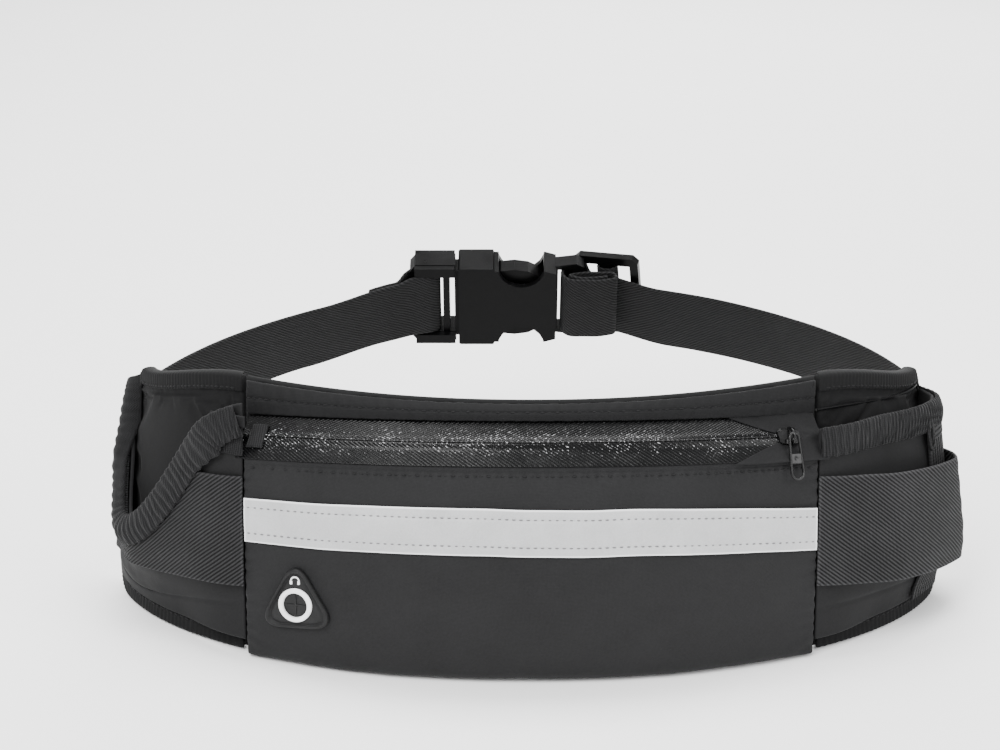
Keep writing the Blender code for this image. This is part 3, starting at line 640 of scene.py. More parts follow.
def puff(obj, cap, pressure=4.0):
    """Cloth simulation of a foam pad's cover: held at its border and its stitched channel, blown out by the foam."""
    mesh, scene = obj.data, bpy.context.scene
    n = len(mesh.vertices)
    rest = np.empty(n * 3, np.float32)
    mesh.vertices.foreach_get("co", rest)
    edge = np.empty(n, np.float32)
    mesh.attributes["edge"].data.foreach_get("value", edge)
    held = np.where((edge < 2.0) | (np.abs(edge - 9.0) < 1.3))[0]
    group = obj.vertex_groups.new(name="held")
    group.add(held.tolist(), 1.0, "REPLACE")
    m = obj.modifiers.new("cover", "CLOTH")
    c = m.settings
    c.vertex_group_mass = "held"
    c.quality, c.mass = 5, 0.25
    c.tension_stiffness, c.compression_stiffness, c.shear_stiffness, c.bending_stiffness = 12, 12, 6, 0.4
    c.shrink_min = -0.04
    c.use_pressure, c.uniform_pressure_force = True, pressure
    c.effector_weights.gravity = 0
    m.collision_settings.use_collision = False
    m.point_cache.frame_start, m.point_cache.frame_end = 1, 20
    for f in range(1, 21):
        scene.frame_set(f)
    cover = obj.evaluated_get(bpy.context.evaluated_depsgraph_get()).to_mesh()
    now = np.empty(n * 3, np.float32)
    cover.vertices.foreach_get("co", now)
    obj.modifiers.remove(m)
    obj.vertex_groups.clear()
    scene.frame_set(1)
    move = (now - rest).reshape(-1, 3)
    far = np.linalg.norm(move, axis=1, keepdims=True)
    move = move * np.minimum(1.0, cap * MM / np.maximum(far, 1e-9))
    mesh.vertices.foreach_set("co", (rest.reshape(-1, 3) + move).ravel())
    mesh.update()
    print("puff", obj.name, "most", float(far.max()) / MM, "mean", float(far.mean()) / MM)


def back_fn(U, V):
    x, z = lerp(-125.8, 125.8, U), lerp(0.0, PACK_H, V)
    return np.stack([x, pad_y(x, z) + PAD_T / 2, z], -1)


back = slab("back_pad", back_fn, 251.6, PACK_H, 150, 70, PAD_T, [M_LINING, M_MESH],
            crown=lambda a, b: quilt(a, b, 251.6, PACK_H) + 0.25 * value_noise(a, b, 3, 17), back_mat=True)
puff(back, 1.6)
done(back, "pack", "padded_mesh", "back_panel")

WING_LEN = 118.0
for side, word, node in ((-1, "left", "left_wing_pad"), (1, "right", "right_wing_pad")):
    def wing_fn(U, V, side=side):
        u = lerp(0.003, 1.0, U)
        lo, hi = wing_bottom(u), wing_top(u)
        return wing(u, lerp(lo, hi, V), -PAD_T / 2, side)
    pad = slab(word + "_wing_padding", wing_fn, WING_LEN, 112.0, 90, 80, PAD_T, [M_LINING, M_MESH], flip=side < 0,
               crown=lambda a, b: quilt(a, b, 260, 112.0) + 0.25 * value_noise(a, b, 5, 15), back_mat=True)
    puff(pad, 1.6)
    done(pad, "pack", "padded_mesh", node)

    # binding folded over the wing's free edge: along the top, round the end, along the base
    q = np.linspace(0, 1, 400)
    top = np.stack([lerp(0.02, 0.985, q), wing_top(lerp(0.02, 0.985, q)) - 0.4], -1)
    endz = np.linspace(wing_top(1.0) - 3.0, wing_bottom(1.0) + 3.0, 160)
    end = np.stack([np.full(160, 0.995), endz], -1)
    qb = np.linspace(1, 0, 400)
    base = np.stack([lerp(0.02, 0.985, qb), wing_bottom(lerp(0.02, 0.985, qb)) + 0.4], -1)
    edge_uz = np.concatenate([top, end, base]) * np.array([WING_LEN, 1.0])
    for _ in range(60):
        edge_uz[1:-1] = (edge_uz[:-2] + 2 * edge_uz[1:-1] + edge_uz[2:]) / 4
    seg = np.concatenate([[0], np.cumsum(np.linalg.norm(np.diff(edge_uz, axis=0), axis=1))])

    def edge_fn(U, V, side=side, edge_uz=edge_uz, seg=seg):
        s = U * seg[-1]
        c = np.stack([np.interp(s, seg, edge_uz[:, 0]), np.interp(s, seg, edge_uz[:, 1])], -1)
        d = np.stack([np.interp(s + 1, seg, edge_uz[:, 0]) - np.interp(s - 1, seg, edge_uz[:, 0]),
                      np.interp(s + 1, seg, edge_uz[:, 1]) - np.interp(s - 1, seg, edge_uz[:, 1])], -1)
        d = d / np.linalg.norm(d, axis=-1, keepdims=True)
        inward = np.stack([d[..., 1], -d[..., 0]], -1)
        t = V * 2 - 1
        depth = 6.2 * np.clip((np.abs(t) - 0.30) / 0.70, 0, 1) - 0.9 * np.clip(1 - np.abs(t) / 0.30, 0, 1) ** 0.7
        out = np.sin(np.clip(t / 0.30, -1, 1) * np.pi / 2) * (PAD_T / 2 + 0.55) - PAD_T / 2
        uz = c + inward * depth[..., None]
        wave = 0.16 * np.sin(s * 2 * np.pi / 2.6 + 1.5 * value_noise(s, s * 0, 9, 7))
        return wing(uz[..., 0] / WING_LEN, uz[..., 1], out + wave * np.sign(t), side)
    rim = slab(word + "_wing_edge_binding", edge_fn, seg[-1], 17.0, 420, 22, 0.9, M_EDGE, flip=side < 0)
    done(rim, "pack", "padded_mesh")
    s = np.arange(6, seg[-1] - 6, 3.4)
    P = edge_fn(s[:, None] / seg[-1], np.array([[0.93]]))[:, 0]
    Q = edge_fn(s[:, None] / seg[-1], np.array([[0.86]]))[:, 0]
    D = np.gradient(P, axis=0)
    N = unit(np.cross(D, P - Q)) * 1.0
    mid = edge_fn(s[:, None] / seg[-1], np.array([[0.07]]))[:, 0]
    N = N * np.sign(np.sum(N * (P - mid), -1, keepdims=True))
    done(stitches(word + "_wing_edge_stitches", P + N * 0.45, N, M_THREAD, length=2.4), "pack", "padded_mesh")

# -------------------------------------------------------------- front panel --
def top_edge(x):
    a = np.arcsin(x / (ZR + T0[0]))
    return zip_pt(a, 0.0, 0.0)


def panel_y(x, z):
    t = top_edge(x)
    s = np.clip((z - 4.0) / (t[..., 2] - 4.6), 0, 1.05)
    return front_y(x, z) + (t[..., 1] - front_y(x, t[..., 2] - 0.6)) * s ** 6


def panel_knots(x):
    """The panel's outer profile at each x, from its heel under the pouch to its top edge."""
    heel, foot = pad_y(x, 0.0) - 0.6, front_y(x, 0.0)
    rows = [(heel, 0.0 * x), (lerp(heel, foot + 6, 0.34), 0.0 * x), (lerp(heel, foot + 6, 0.67), 0.0 * x),
            (foot + 6.0, 0.05 + 0 * x), (foot + 2.2, 0.8 + 0 * x), (front_y(x, 4.0) + 0.15, 4.0 + 0 * x)]
    z_top = top_edge(x)[..., 2] - 0.6
    for k in range(1, 10):
        z = 4.0 + (z_top - 4.0) * k / 9
        rows.append((panel_y(x, z), z))
    return np.stack([np.stack([x, y + WALLC, z], -1) for y, z in rows], 0)


WALLC = 1.0
PANEL_LEN = 114.0


def catmull(K, t):
    n = K.shape[0]
    q = t * (n - 1)
    i = np.clip(np.floor(q).astype(int), 0, n - 2)
    f = (q - i)[..., None]
    J = np.arange(K.shape[1])
    J = np.broadcast_to(J[:, None], i.shape) if i.ndim == 2 else J
    g = lambda k: K[np.clip(k, 0, n - 1), J]
    p0, p1, p2, p3 = g(i - 1), g(i), g(i + 1), g(i + 2)
    return 0.5 * ((2 * p1) + (p2 - p0) * f + (2 * p0 - 5 * p1 + 4 * p2 - p3) * f ** 2
                  + (3 * p1 - p0 - 3 * p2 + p3) * f ** 3)


def panel_fn(U, V):
    x = lerp(-125.7, 125.7, U[:, 0])
    K = panel_knots(x)
    seglen = np.linalg.norm(np.diff(K[:, len(x) // 2], axis=0), axis=1)
    knots = np.concatenate([[0], np.cumsum(seglen)]) / seglen.sum()
    t = np.interp(V, knots, np.linspace(0, 1, len(knots)))
    return catmull(K, t)


def panel_disp(a, b):
    """Small pucker under the zip's stitch row, slack above the base, drag at the side seams."""
    d = PANEL_LEN - b
    pucker = 0.22 * np.exp(-((d - 5.2) / 2.6) ** 2) * np.sin(a * 2 * np.pi / 5.2 + 2.2 * value_noise(a, d, 21, 14))
    groove = -0.40 * np.exp(-((d - 3.4) / 0.75) ** 2)
    side = np.minimum(a, 251.4 - a)
    drag = 0.30 * np.exp(-(side / 7.0) ** 2) * np.sin(b * 2 * np.pi / 6.5 + 2.5 * value_noise(b, side, 22, 11))
    slack = 0.55 * value_noise(a * 0.6, b * 1.6, 23, 34) + 0.22 * value_noise(a, b, 24, 11)
    fade = np.clip(d / 10, 0, 1) * np.clip(b / 12, 0, 1) * np.clip(side / 6, 0, 1)
    return (pucker + drag) * np.clip(d / 3, 0, 1) + groove + slack * fade


panel = slab("front_panel_fabric", panel_fn, 251.4, PANEL_LEN, 330, 190, 1.7, [M_PANEL, M_LINING], disp=panel_disp,
             back_mat=True)
done(panel, "pack", "smooth_knit", "front_panel")

xs = np.arange(-122, 122.1, 3.05)


def on_panel(x, z):
    """Points on the panel's outer face and its outward there."""
    p = lambda x, z: np.stack([x, panel_y(x, z), z], -1)
    e = 0.5
    n = unit(np.cross(p(x + e, z) - p(x - e, z), p(x, z + e) - p(x, z - e)))
    return p(x, z), n


P, N = on_panel(xs, top_edge(xs)[:, 2] - 0.6 - 3.4)
done(stitches("front_panel_stitches", P + N * -0.10, N, M_THREAD, length=2.2, wide=0.7), "pack", "smooth_knit")

# ----------------------------------------------------------------- top hem --
WIDE = math.asin(125.4 / (ZR - 7.0))


def hem_fn(U, V):
    a = lerp(-WIDE, WIDE, U)
    low = zip_pt(a, 1.04, 0.9)
    x = np.clip(low[..., 0] * 1.03, -125.5, 125.5)
    top = np.stack([x, pad_y(x, PACK_H) - 2.2, PACK_H - 0.7 + 0 * x], -1)
    mid = (low + top) / 2 + np.array([0, -1.0, 0.7])
    k = V[..., None]
    return (1 - k) * (1 - 2 * k) * low + 4 * k * (1 - k) * mid + k * (2 * k - 1) * top


hem = slab("top_hem_fabric", hem_fn, 250.0, 14.0, 260, 26, 1.7, [M_HEM, M_LINING],
           disp=lambda a, b: 0.16 * np.sin(a * 2 * np.pi / 6.3 + 2 * value_noise(a, b, 31, 13))
           - 0.45 * np.exp(-((b - 6.4) / 0.7) ** 2), back_mat=True)
done(hem, "pack", "smooth_knit", "top_hem")
q = np.linspace(0.01, 0.99, 82)[:, None]
P = hem_fn(q, np.full_like(q, 6.4 / 14))[:, 0]
P2 = hem_fn(q, np.full_like(q, 9 / 14))[:, 0]
N = unit(np.cross(np.gradient(P, axis=0), P2 - P))
done(stitches("top_hem_stitches", P + N * 0.55, N, M_THREAD, length=2.2, wide=0.7), "pack", "smooth_knit")

# --------------------------------------------------------------------- zip --
for word, s0, s1, mat, node in (("lower", -0.03, 0.494, M_TAPE_L, "zip_tape_lower"),
                                ("upper", 0.506, 1.02, M_TAPE_U, "zip_tape_upper")):
    def tape_fn(U, V, s0=s0, s1=s1):
        s = lerp(s0, s1, V)
        return zip_pt(lerp(-WIDE + 0.004, WIDE - 0.008, U), s, 0.15 + 1.15 * np.exp(-((s - 0.5) / 0.10) ** 2))
    t = slab("coated_tape_" + word, tape_fn, 245.0, 11.5, 420, 30, 0.5, mat,
             disp=lambda a, b: 0.07 * value_noise(a, b, 37, 7) + 0.015 * value_noise(a, b, 38, 2.0))
    done(t, "pack", "coated_tape", node)

turns, segs, ring = 190, 10, 6
th = np.linspace(0, 2 * np.pi * turns, turns * segs)
a = lerp(-ZEND + 0.004, ZEND - 0.004, th / th[-1])
C = zip_pt(a, 0.5 + 0.085 * np.cos(th), -0.75 + 0.62 * np.sin(th))
D = unit(np.gradient(C, axis=0))
X = unit(np.cross(D, ZA))
Y = np.cross(D, X)
k = np.arange(ring) * 2 * np.pi / ring
V = (C[:, None] + X[:, None] * (0.30 * np.cos(k))[None, :, None] + Y[:, None] * (0.30 * np.sin(k))[None, :, None])
idx = np.arange(len(C) * ring).reshape(len(C), ring)
a1, b1 = idx[:-1], np.roll(idx, -1, axis=1)[:-1]
c1, d1 = np.roll(idx, -1, axis=1)[1:], idx[1:]
faces = [tuple(f) for f in np.stack([a1, b1, c1, d1], -1).reshape(-1, 4)]
faces += [tuple(idx[0][::-1]), tuple(idx[-1])]
coil = new_object("zip_coil_turns", V.reshape(-1, 3), faces, M_COIL)
done(coil, "pack", "zip_coil", "zip_coil")

def gusset_fn(U, V):
    """Fabric that covers the tapes' right-hand end, its free edge a notch."""
    s = lerp(-0.10, 1.10, V)
    a0 = 0.424 - 0.10 * np.abs(2 * s - 1) ** 0.8
    return zip_pt(lerp(a0, WIDE - 0.004, U), s, 0.72 + 0.9 * sm((U - 0.25) / 0.5) + 0.9 * np.exp(-((s - 0.5) / 0.12) ** 2)
                  * sm((U - 0.05) / 0.3))


gusset = slab("zip_end_gusset", gusset_fn, 40.0, 26.0, 60, 40, 0.7, M_HEM,
              disp=lambda a, b: 0.12 * value_noise(a, b, 39, 6))
done(gusset, "pack", "smooth_knit")
tab = slab("zip_end_tab_webbing", lambda U, V: zip_pt(lerp(-ZEND - 0.022, -ZEND + 0.006, U), lerp(0.22, 0.78, V),
                                                      1.1 + 0.5 * np.sin(U * np.pi)), 8.0, 10.0, 14, 14, 1.5, M_GATHER)
done(tab, "pack", "ribbed_elastic", "zip_end_tab")

# ----------------------------------------------------------- reflective strip --
def strip_z(x):
    w = 1 - (np.abs(x) / SEAM) ** 2.2
    lo = lerp(np.where(x < 0, 53.0, 49.5), 61.5, w)
    hi = lerp(np.where(x < 0, 72.0, 68.0), 80.5, w)
    wav = 0.35 * value_noise(x, 0 * x, 41, 23)
    return lo + wav, hi + wav


def strip_fn(U, V):
    x = lerp(-125.4, 125.4, U)
    lo, hi = strip_z(x)
    P, N = on_panel(x, lerp(lo, hi, V))
    return P + N * 0.85


strip = slab("reflective_tape", strip_fn, 250.8, 19.0, 330, 26, 0.6, M_REFL,
             disp=lambda a, b: 0.20 * value_noise(a, b, 42, 12) + 0.09 * np.sin(a * 2 * np.pi / 3.05)
             * np.exp(-((np.abs(b - 9.5) - 5.9) / 1.6) ** 2) - 0.28 * np.exp(-((np.abs(b - 9.5) - 5.6) / 0.5) ** 2))
done(strip, "pack", "reflective", "reflective_strip")
for word, v in (("low", 0.205), ("high", 0.795)):
    q = np.linspace(0.008, 0.992, 82)[:, None]
    P = strip_fn(q, np.full_like(q, v))[:, 0]
    N = unit(np.cross(np.gradient(P, axis=0), np.array([0, 0, 1.0])))
    done(stitches("reflective_tape_stitches_" + word, P + N * 0.12, N, M_THREAD_G, length=1.7, wide=0.6, high=0.4),
         "pack", "reflective")

# ------------------------------------------------------------ earphone port --
PORT = (-102.0, 31.8)


def port_pt(a, b, out):
    P, N = on_panel(PORT[0] + 0.96 * a, PORT[1] + b + 0.14 * a)
    return P + N * np.asarray(out)[..., None]


def polar(name, radii, lifts, outline, mat, n=120, drop=0.0):
    """A closed moulded piece: rings at shares of an outline, each at a height."""
    th = np.linspace(0, 2 * np.pi, n, endpoint=False)
    R = outline(th)
    verts, cloth = [], []
    for f, h in zip(radii, lifts):
        a, b = R * f * np.cos(th), R * f * np.sin(th) + drop
        verts.append(port_pt(a, b, np.full(n, h)))
        cloth.append(np.stack([a, b, 0 * a], -1))
    m = len(radii)
    V = np.concatenate(verts)
    idx = np.arange(m * n).reshape(m, n)
    a1, b1 = idx[:-1], np.roll(idx, -1, 1)[:-1]
    c1, d1 = np.roll(idx, -1, 1)[1:], idx[1:]
    faces = [tuple(f) for f in np.stack([a1, b1, c1, d1], -1).reshape(-1, 4)]
    if radii[0] == radii[-1]:
        faces += [tuple((idx[-1][k], idx[-1][(k + 1) % n], idx[0][(k + 1) % n], idx[0][k])) for k in range(n)]
    else:
        faces += [tuple(idx[0][::-1]), tuple(idx[-1])]
    return new_object(name, V, faces, mat, {"cloth": np.concatenate(cloth), "edge": np.ones(m * n)})


def tri_outline(th):
    total = sum(np.clip(np.cos(th - k), 0, 1) ** 2.5 for k in (-np.pi / 2, np.pi / 6, 5 * np.pi / 6))
    return 11.0 * total ** (-1 / 2.5)


fr = [0.06, 0.55, 0.62, 0.68, 0.74, 0.78, 0.81, 0.84, 0.865, 0.89, 0.93, 0.97, 0.99, 1.0, 1.0]
hh = [1.75, 1.8, 1.85, 1.85, 1.75, 1.5, 1.15, 1.15, 1.6, 2.15, 2.35, 2.15, 1.5, 0.9, 0.1]
patch = polar("port_patch", fr[::-1], hh[::-1], tri_outline, M_RUBBER, drop=-1.5)
done(patch, "pack", "rubber_patch", "earphone_port_patch")
rr = 7.8
fr = [0.715, 0.74, 0.79, 0.87, 0.95, 1.0, 1.0, 0.97, 0.715]
hh = [2.3, 2.9, 3.15, 3.2, 2.95, 2.5, 2.0, 1.7, 1.7]
ring_ = polar("port_white_ring", fr + [0.715], hh + [2.3], lambda th: rr + 0 * th, M_WHITE, drop=-1.4)
done(ring_, "pack", "white_rubber", "earphone_port_ring")
M_SLIT = rubber("port_slit_membrane", (0.0015, 0.0015, 0.0016), 0.5)
for word, rot in (("up", 0.0), ("across", math.pi / 2)):
    th = np.linspace(0, 2 * np.pi, 40, endpoint=False)
    a, b = 0.42 * np.cos(th), 4.6 * np.sin(th)
    a, b = a * math.cos(rot) - b * math.sin(rot), a * math.sin(rot) + b * math.cos(rot)
    lo, hi = port_pt(a, b - 1.4, np.full(40, 1.2)), port_pt(a, b - 1.4, np.full(40, 2.02))
    f = [(k, (k + 1) % 40, 40 + (k + 1) % 40, 40 + k) for k in range(40)] + [tuple(range(40))[::-1], tuple(range(40, 80))]
    done(new_object("port_slit_" + word, np.concatenate([lo, hi]), f, M_SLIT, smooth=40), "pack", "rubber_patch")


th = np.linspace(-0.35, np.pi + 0.35, 40)
mark_a, mark_b = 1.9 * np.cos(th), 1.7 * np.sin(th) + 9.7


# --------------------------------------------------- pockets, bands, bindings --
def left_mouth(u):
    return np.where(u < 0.60, lerp(112.0, 46.0, sm(u / 0.60) ** 0.9), lerp(46.0, 101.0, sm((u - 0.60) / 0.37)))


def right_mouth(u):
    return 101.0 - 6.0 * sm(u / 0.9)


def pout(u, z, side):
    """The pocket's stand-off, drawn in to the pad towards the wing's free end."""
    base = pocket_out(u, z)
    if side < 0:
        base = lerp(base, np.minimum(base, 4.4), sm((u - 0.50) / 0.30))
    return lerp(1.5, base, sm((0.962 - u) / 0.17))


def pocket_obj(name, side, mouth, mat, node):
    def parts(U, V):
        u = lerp(0.004, 0.955, U)
        lo = np.maximum(7.0, wing_bottom(u) + 6.0)
        z = lerp(lo, mouth(u), V)
        out = pout(u, z, side)
        closed = np.minimum(np.minimum(sm(u / 0.05), sm((0.955 - u) / 0.05)), sm((z - lo) / 6.0))
        inner = lerp(0.4, out - 2.0, closed)
        return u, z, np.maximum(out, inner + 1.2), inner

    def fn(U, V):
        u, z, out, inner = parts(U, V)
        return wing(u, z, out - 0.85, side)
    obj = slab(name, fn, WING_LEN, 90.0, 150, 120, 1.6, [mat, M_LINING], flip=side < 0, back_mat=True,
               disp=lambda a, b: (0.45 * value_noise(a * 0.8, b, 51 + side, 26) + 0.16 * value_noise(a, b, 53, 9)
                                  - 0.5 * np.exp(-((b - 14.0 + 0.05 * a) / 1.1) ** 2)) * np.clip(a / 10, 0, 1))
    return done(obj, "pack", "smooth_knit", node)


pockets = [pocket_obj("left_pocket_fabric", -1, left_mouth, M_POCKET, "left_pocket_front"),
           pocket_obj("right_pocket_fabric", 1, right_mouth, M_POCKET, "right_pocket_front")]


def binding_obj(name, side, mouth, u0, u1, base, node, width):
    def fn(U, V):
        u = lerp(u0, u1, U)
        z = mouth(u)
        slope = (mouth(u + 0.01) - mouth(u - 0.01)) / 0.02
        length = np.linalg.norm(wing(u + 0.01, z, 10, 1) - wing(u - 0.01, z, 10, 1), axis=-1) / 0.02
        tan = np.arctan2(slope, length)
        mm = u * WING_LEN
        zig = 0.55 * sm((u1 - u) / 0.1) * (2 * np.abs((mm / 3.1 + 0.35 * value_noise(mm, 0 * mm, 61, 6)) % 1.0 - 0.5) - 0.5)
        across = lerp(-width - 0.4 + zig, 0.6 + 0.0 * zig, V)
        uu = u - across * np.sin(tan) / length
        zz = z + across * np.cos(tan)
        over = np.clip((across + 0.2) / 0.8, 0, 1)
        fade = sm((u1 + 0.01 - u) / 0.12)
        out = pout(uu, np.minimum(zz, mouth(uu) + 2), side) + lerp(0.3, base, fade) + 0.8 - 1.1 * over ** 2
        sewn = sm((u - (0.74 if side < 0 else u1 - 0.10)) / 0.10) * V ** 2
        out = lerp(out, -0.4, sewn)
        beyond = np.maximum(uu - 0.995, 0.0)
        out = out - np.minimum(beyond * WING_LEN, 5.5)
        return wing(uu - beyond, zz, out, side)

    def gather(a, b):
        total = (u1 - u0) * WING_LEN * 1.15
        return sm((total - a) / 14) * 0.36 * np.sin(a * 2 * np.pi / 2.9 + 1.6 * value_noise(a, b, 62, 5) + 0.16 * b) * (
            0.45 + 0.55 * np.clip(1 - b / 12, 0, 1)) + (
            0.5 + (3.4 if side < 0 else 0.9) * sm((a / total - 0.42) / 0.25)) * np.sin(np.clip(b / 12, 0, 1) * np.pi)
    obj = slab(name, fn, (u1 - u0) * WING_LEN * 1.15, width, 420, 22, 1.2, M_GATHER, disp=gather, flip=side < 0)
    return done(obj, "pack", "ribbed_elastic", node)


bindings = [binding_obj("left_pocket_elastic", -1, left_mouth, 0.035, 0.945, 2.3, "left_pocket_binding", 12.0),
            binding_obj("right_pocket_elastic", 1, right_mouth, 0.012, 0.95, 0.6, "right_pocket_binding", 11.5)]


def band_obj(name, side, standoff, mat, node, trim=None):
    def fn(U, V):
        u = lerp(0.004, 0.93, U)
        lo = 33.5 - 15.0 * u
        hi = lo + 48.0
        if trim is not None:
            hi = np.minimum(hi, trim(u))
        z = lerp(lo, hi, V)
        out = np.maximum(np.maximum(pout(u, lo, side), pout(u, hi, side)), pout(u, (lo + hi) / 2, side))
        out = lerp(pout(u, z, side), out, 0.5) + 0.5
        out = np.maximum(out, pout(u, z, side) + 0.7) + standoff * sm(u / 0.3) * sm((0.93 - u) / 0.25)
        return wing(u, z, out + 0.65, side)
    obj = slab(name, fn, 112.0, 46.0, 170, 60, 1.3, mat, flip=side < 0,
               disp=lambda a, b: 0.25 * value_noise(a, b * 0.5, 71 + side, 18) + 0.12 * np.sin(b * 2 * np.pi / 9 + a / 30))
    return done(obj, "pack", "ribbed_elastic", node)


bands = [band_obj("left_side_band", -1, 0.0, M_BAND_L, "left_elastic_band", trim=lambda u: left_mouth(u) - 1.0),
         band_obj("right_side_band", 1, 7.6, M_BAND_R, "right_bottle_band")]


def sling_fn(U, V):
    z = lerp(9.0, 86.0, U)
    uu = lerp(0.59, 0.81, V)
    u = uu - 0.10 * sm((40 - z) / 30)
    lo = wing_bottom(u) + 7.5
    zz = np.where(z < 30, lerp(lo, 30.0, (z - 9.0) / 21.0), np.maximum(z, lo))
    return wing(u, zz, pout(u, zz, 1) + 1.45, 1)


def seam_elastic_fn(U, V):
    u = lerp(0.004, 0.19, U)
    z = lerp(90.0, np.minimum(103.0, left_mouth(u) - 2.5), V)
    return wing(u, z, pout(u, z, -1) + 0.75, -1)


done(slab("left_seam_elastic", seam_elastic_fn, 22.0, 12.0, 60, 30, 1.1, M_GATHER, flip=True,
          disp=lambda a, b: 0.12 * value_noise(a, b, 83, 3)), "pack", "ribbed_elastic")
done(slab("left_seam_tab", lambda U, V: wing(lerp(-0.012, 0.10, U), lerp(102.5, 107.5, V),
                                             pout(np.maximum(lerp(-0.012, 0.10, U), 0.0), 104.0, -1) + 1.9, -1),
          13.0, 5.0, 26, 14, 1.2, M_HEM, flip=True), "pack", "smooth_knit")


def tube(name, pts, radius, mat, ring=10, closed=False, squash=(1.0, 1.0)):
    """A round or oval cord-like edge along points."""
    C = np.asarray(pts, float)
    D = unit((np.roll(C, -1, 0) - np.roll(C, 1, 0)) if closed else np.gradient(C, axis=0))
    X = unit(np.cross(D, np.array([0.13, 0.21, 0.97])))
    Y = np.cross(D, X)
    k = np.arange(ring) * 2 * np.pi / ring
    V = (C[:, None] + X[:, None] * (radius * squash[0] * np.cos(k))[None, :, None]
         + Y[:, None] * (radius * squash[1] * np.sin(k))[None, :, None])
    idx = np.arange(len(C) * ring).reshape(len(C), ring)
    nxt = np.roll(idx, -1, axis=0) if closed else idx[1:]
    cur = idx if closed else idx[:-1]
    faces = [tuple(f) for f in np.stack([cur, np.roll(cur, -1, 1), np.roll(nxt, -1, 1), nxt], -1).reshape(-1, 4)]
    if not closed:
        faces += [tuple(idx[0][::-1]), tuple(idx[-1])]
    step = np.concatenate([[0], np.cumsum(np.linalg.norm(np.diff(C, axis=0), axis=1))])
    cl = np.stack([np.repeat(step, ring), np.tile(k, len(C)), np.zeros(len(C) * ring)], -1)
    return new_object(name, V.reshape(-1, 3), faces, mat, {"cloth": cl, "edge": np.ones(len(cl))})


done(tube("port_headset_mark", port_pt(mark_a, mark_b, np.full(40, 1.85)), 0.34, M_WHITE), "pack", "white_rubber")
for k_ in (0, -1):
    a_ = np.array([mark_a[k_]] * 8)
    b_ = mark_b[k_] + np.linspace(0.5, -0.9, 8)
    done(tube("port_headset_ear_" + ("right" if k_ == 0 else "left"), port_pt(a_, b_, np.full(8, 1.85)), 0.62, M_WHITE),
         "pack", "white_rubber")

u_ = np.linspace(0.34, 0.93, 160)
done(tube("left_lining_piping", wing(u_, left_mouth(u_) + 2.6, 0.35 + 0 * u_, -1), 0.62, M_PIPE), "pack", "smooth_knit")
u_ = np.linspace(0.012, 0.95, 160)
done(tube("right_lining_piping", wing(u_, right_mouth(u_) + 2.6, 0.35 + 0 * u_, 1), 0.62, M_PIPE), "pack", "smooth_knit")

# the sling's folded top, where it loops out above the band
t_ = np.linspace(0, 2 * np.pi, 60, endpoint=False)
uu_, zz_ = 0.600 + 0.018 * np.cos(t_), 84.0 + 7.0 * np.sin(t_)
done(tube("right_sling_loop", wing(uu_, zz_, pout(uu_, zz_, 1) + 2.6, 1), 0.95, M_SLING, closed=True), "pack",
     "ribbed_elastic")
done(slab("right_sling_top", lambda U, V: wing(lerp(0.612, 0.86, U), lerp(80.0, 90.5 - 2.0 * U, V),
                                               pout(lerp(0.612, 0.86, U), 88.0, 1) + 2.3 - 0.8 * U, 1),
          30.0, 11.0, 50, 20, 1.3, M_SLING), "pack", "ribbed_elastic")

sling = slab("right_bottle_sling_webbing", sling_fn, 78.0, 26.0, 110, 36, 1.5, M_SLING, flip=True,
             disp=lambda a, b: 0.18 * value_noise(a, b, 81, 11))
done(sling, "pack", "ribbed_elastic", "right_bottle_sling")

# ------------------------------------------------------------------ straps ---
def strap_path(run, c, rise, side, d0, d1, step, out=0.0):
    degs = np.arange(d0, d1 + (1e-6 if step > 0 else -1e-6), step)
    mids, ups = [], []
    for d in degs:
        lean = float(lean_at(run, d))
        mid = float(mid_at(run, d, rise))
        half = 19.0 * math.cos(math.radians(lean))
        lo = cone(c, d, np.array(mid - half), out, side, lean)
        hi = cone(c, d, np.array(mid + half), out, side, lean)
        mids.append((lo + hi) / 2)
        ups.append(hi - lo)
    return mids, ups


# left half: from the wing, over the plug's bar and back outside itself
mids, ups = strap_path(LRUN, LCONE, 5.0, -1, LRUN[1] + 3.0, LRUN[0] + 0.2, -2.0)
loop = [(-58.5, 8.6), (-53.5, 7.4), (-49.5, 6.5), (-46.0, 4.2), (-45.2, 0.0), (-46.0, -4.6), (-50.0, -7.0),
        (-54.5, -5.4), (-58.5, -0.6), (-62.0, 3.6)]
for x, n in loop:
    mids.append(bk(x, 0.6, n))
    ups.append(BV)
m2, u2 = strap_path(LRUN, LCONE, 5.0, -1, LRUN[0] + 1.2, LRUN[0] + 4.8, 0.6, out=3.4)
left = path_slab("left_strap_webbing", mids + m2, ups + u2, 37.6, 1.7, M_STRAP, n=420, nv=18,
                 disp=lambda a, b: 0.14 * value_noise(a, b, 91, 21) + 0.05 * np.sin(b * 2 * np.pi / 2.1))
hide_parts("left_strap", "left_strap_tail")

mids, ups = strap_path(RRUN, RCONE, 7.0, 1, RRUN[1] + 3.0, RRUN[0] + 0.6, -2.0)
for x, n in ((29.5, -7.6), (25.0, -8.2), (21.0, -6.0), (19.4, -1.0), (18.6, 4.0), (21.5, 8.4), (31.0, 9.7), (41.0, 9.2),
             (46.4, 6.8), (45.6, 4.0), (38.0, 3.0), (28.0, 3.3), (22.6, 5.0), (26.0, 7.0), (35.0, 7.3), (42.0, 6.2)):
    mids.append(bk(x, 0.3, n))
    ups.append(BV)
right = path_slab("right_strap_webbing", mids, ups, 37.6, 1.5, M_STRAP, n=460, nv=18,
                  disp=lambda a, b: 0.12 * value_noise(a, b, 92, 21) + 0.05 * np.sin(b * 2 * np.pi / 2.1))
done(right, "pack", "strap_elastic", "right_strap", "right_strap_loop")

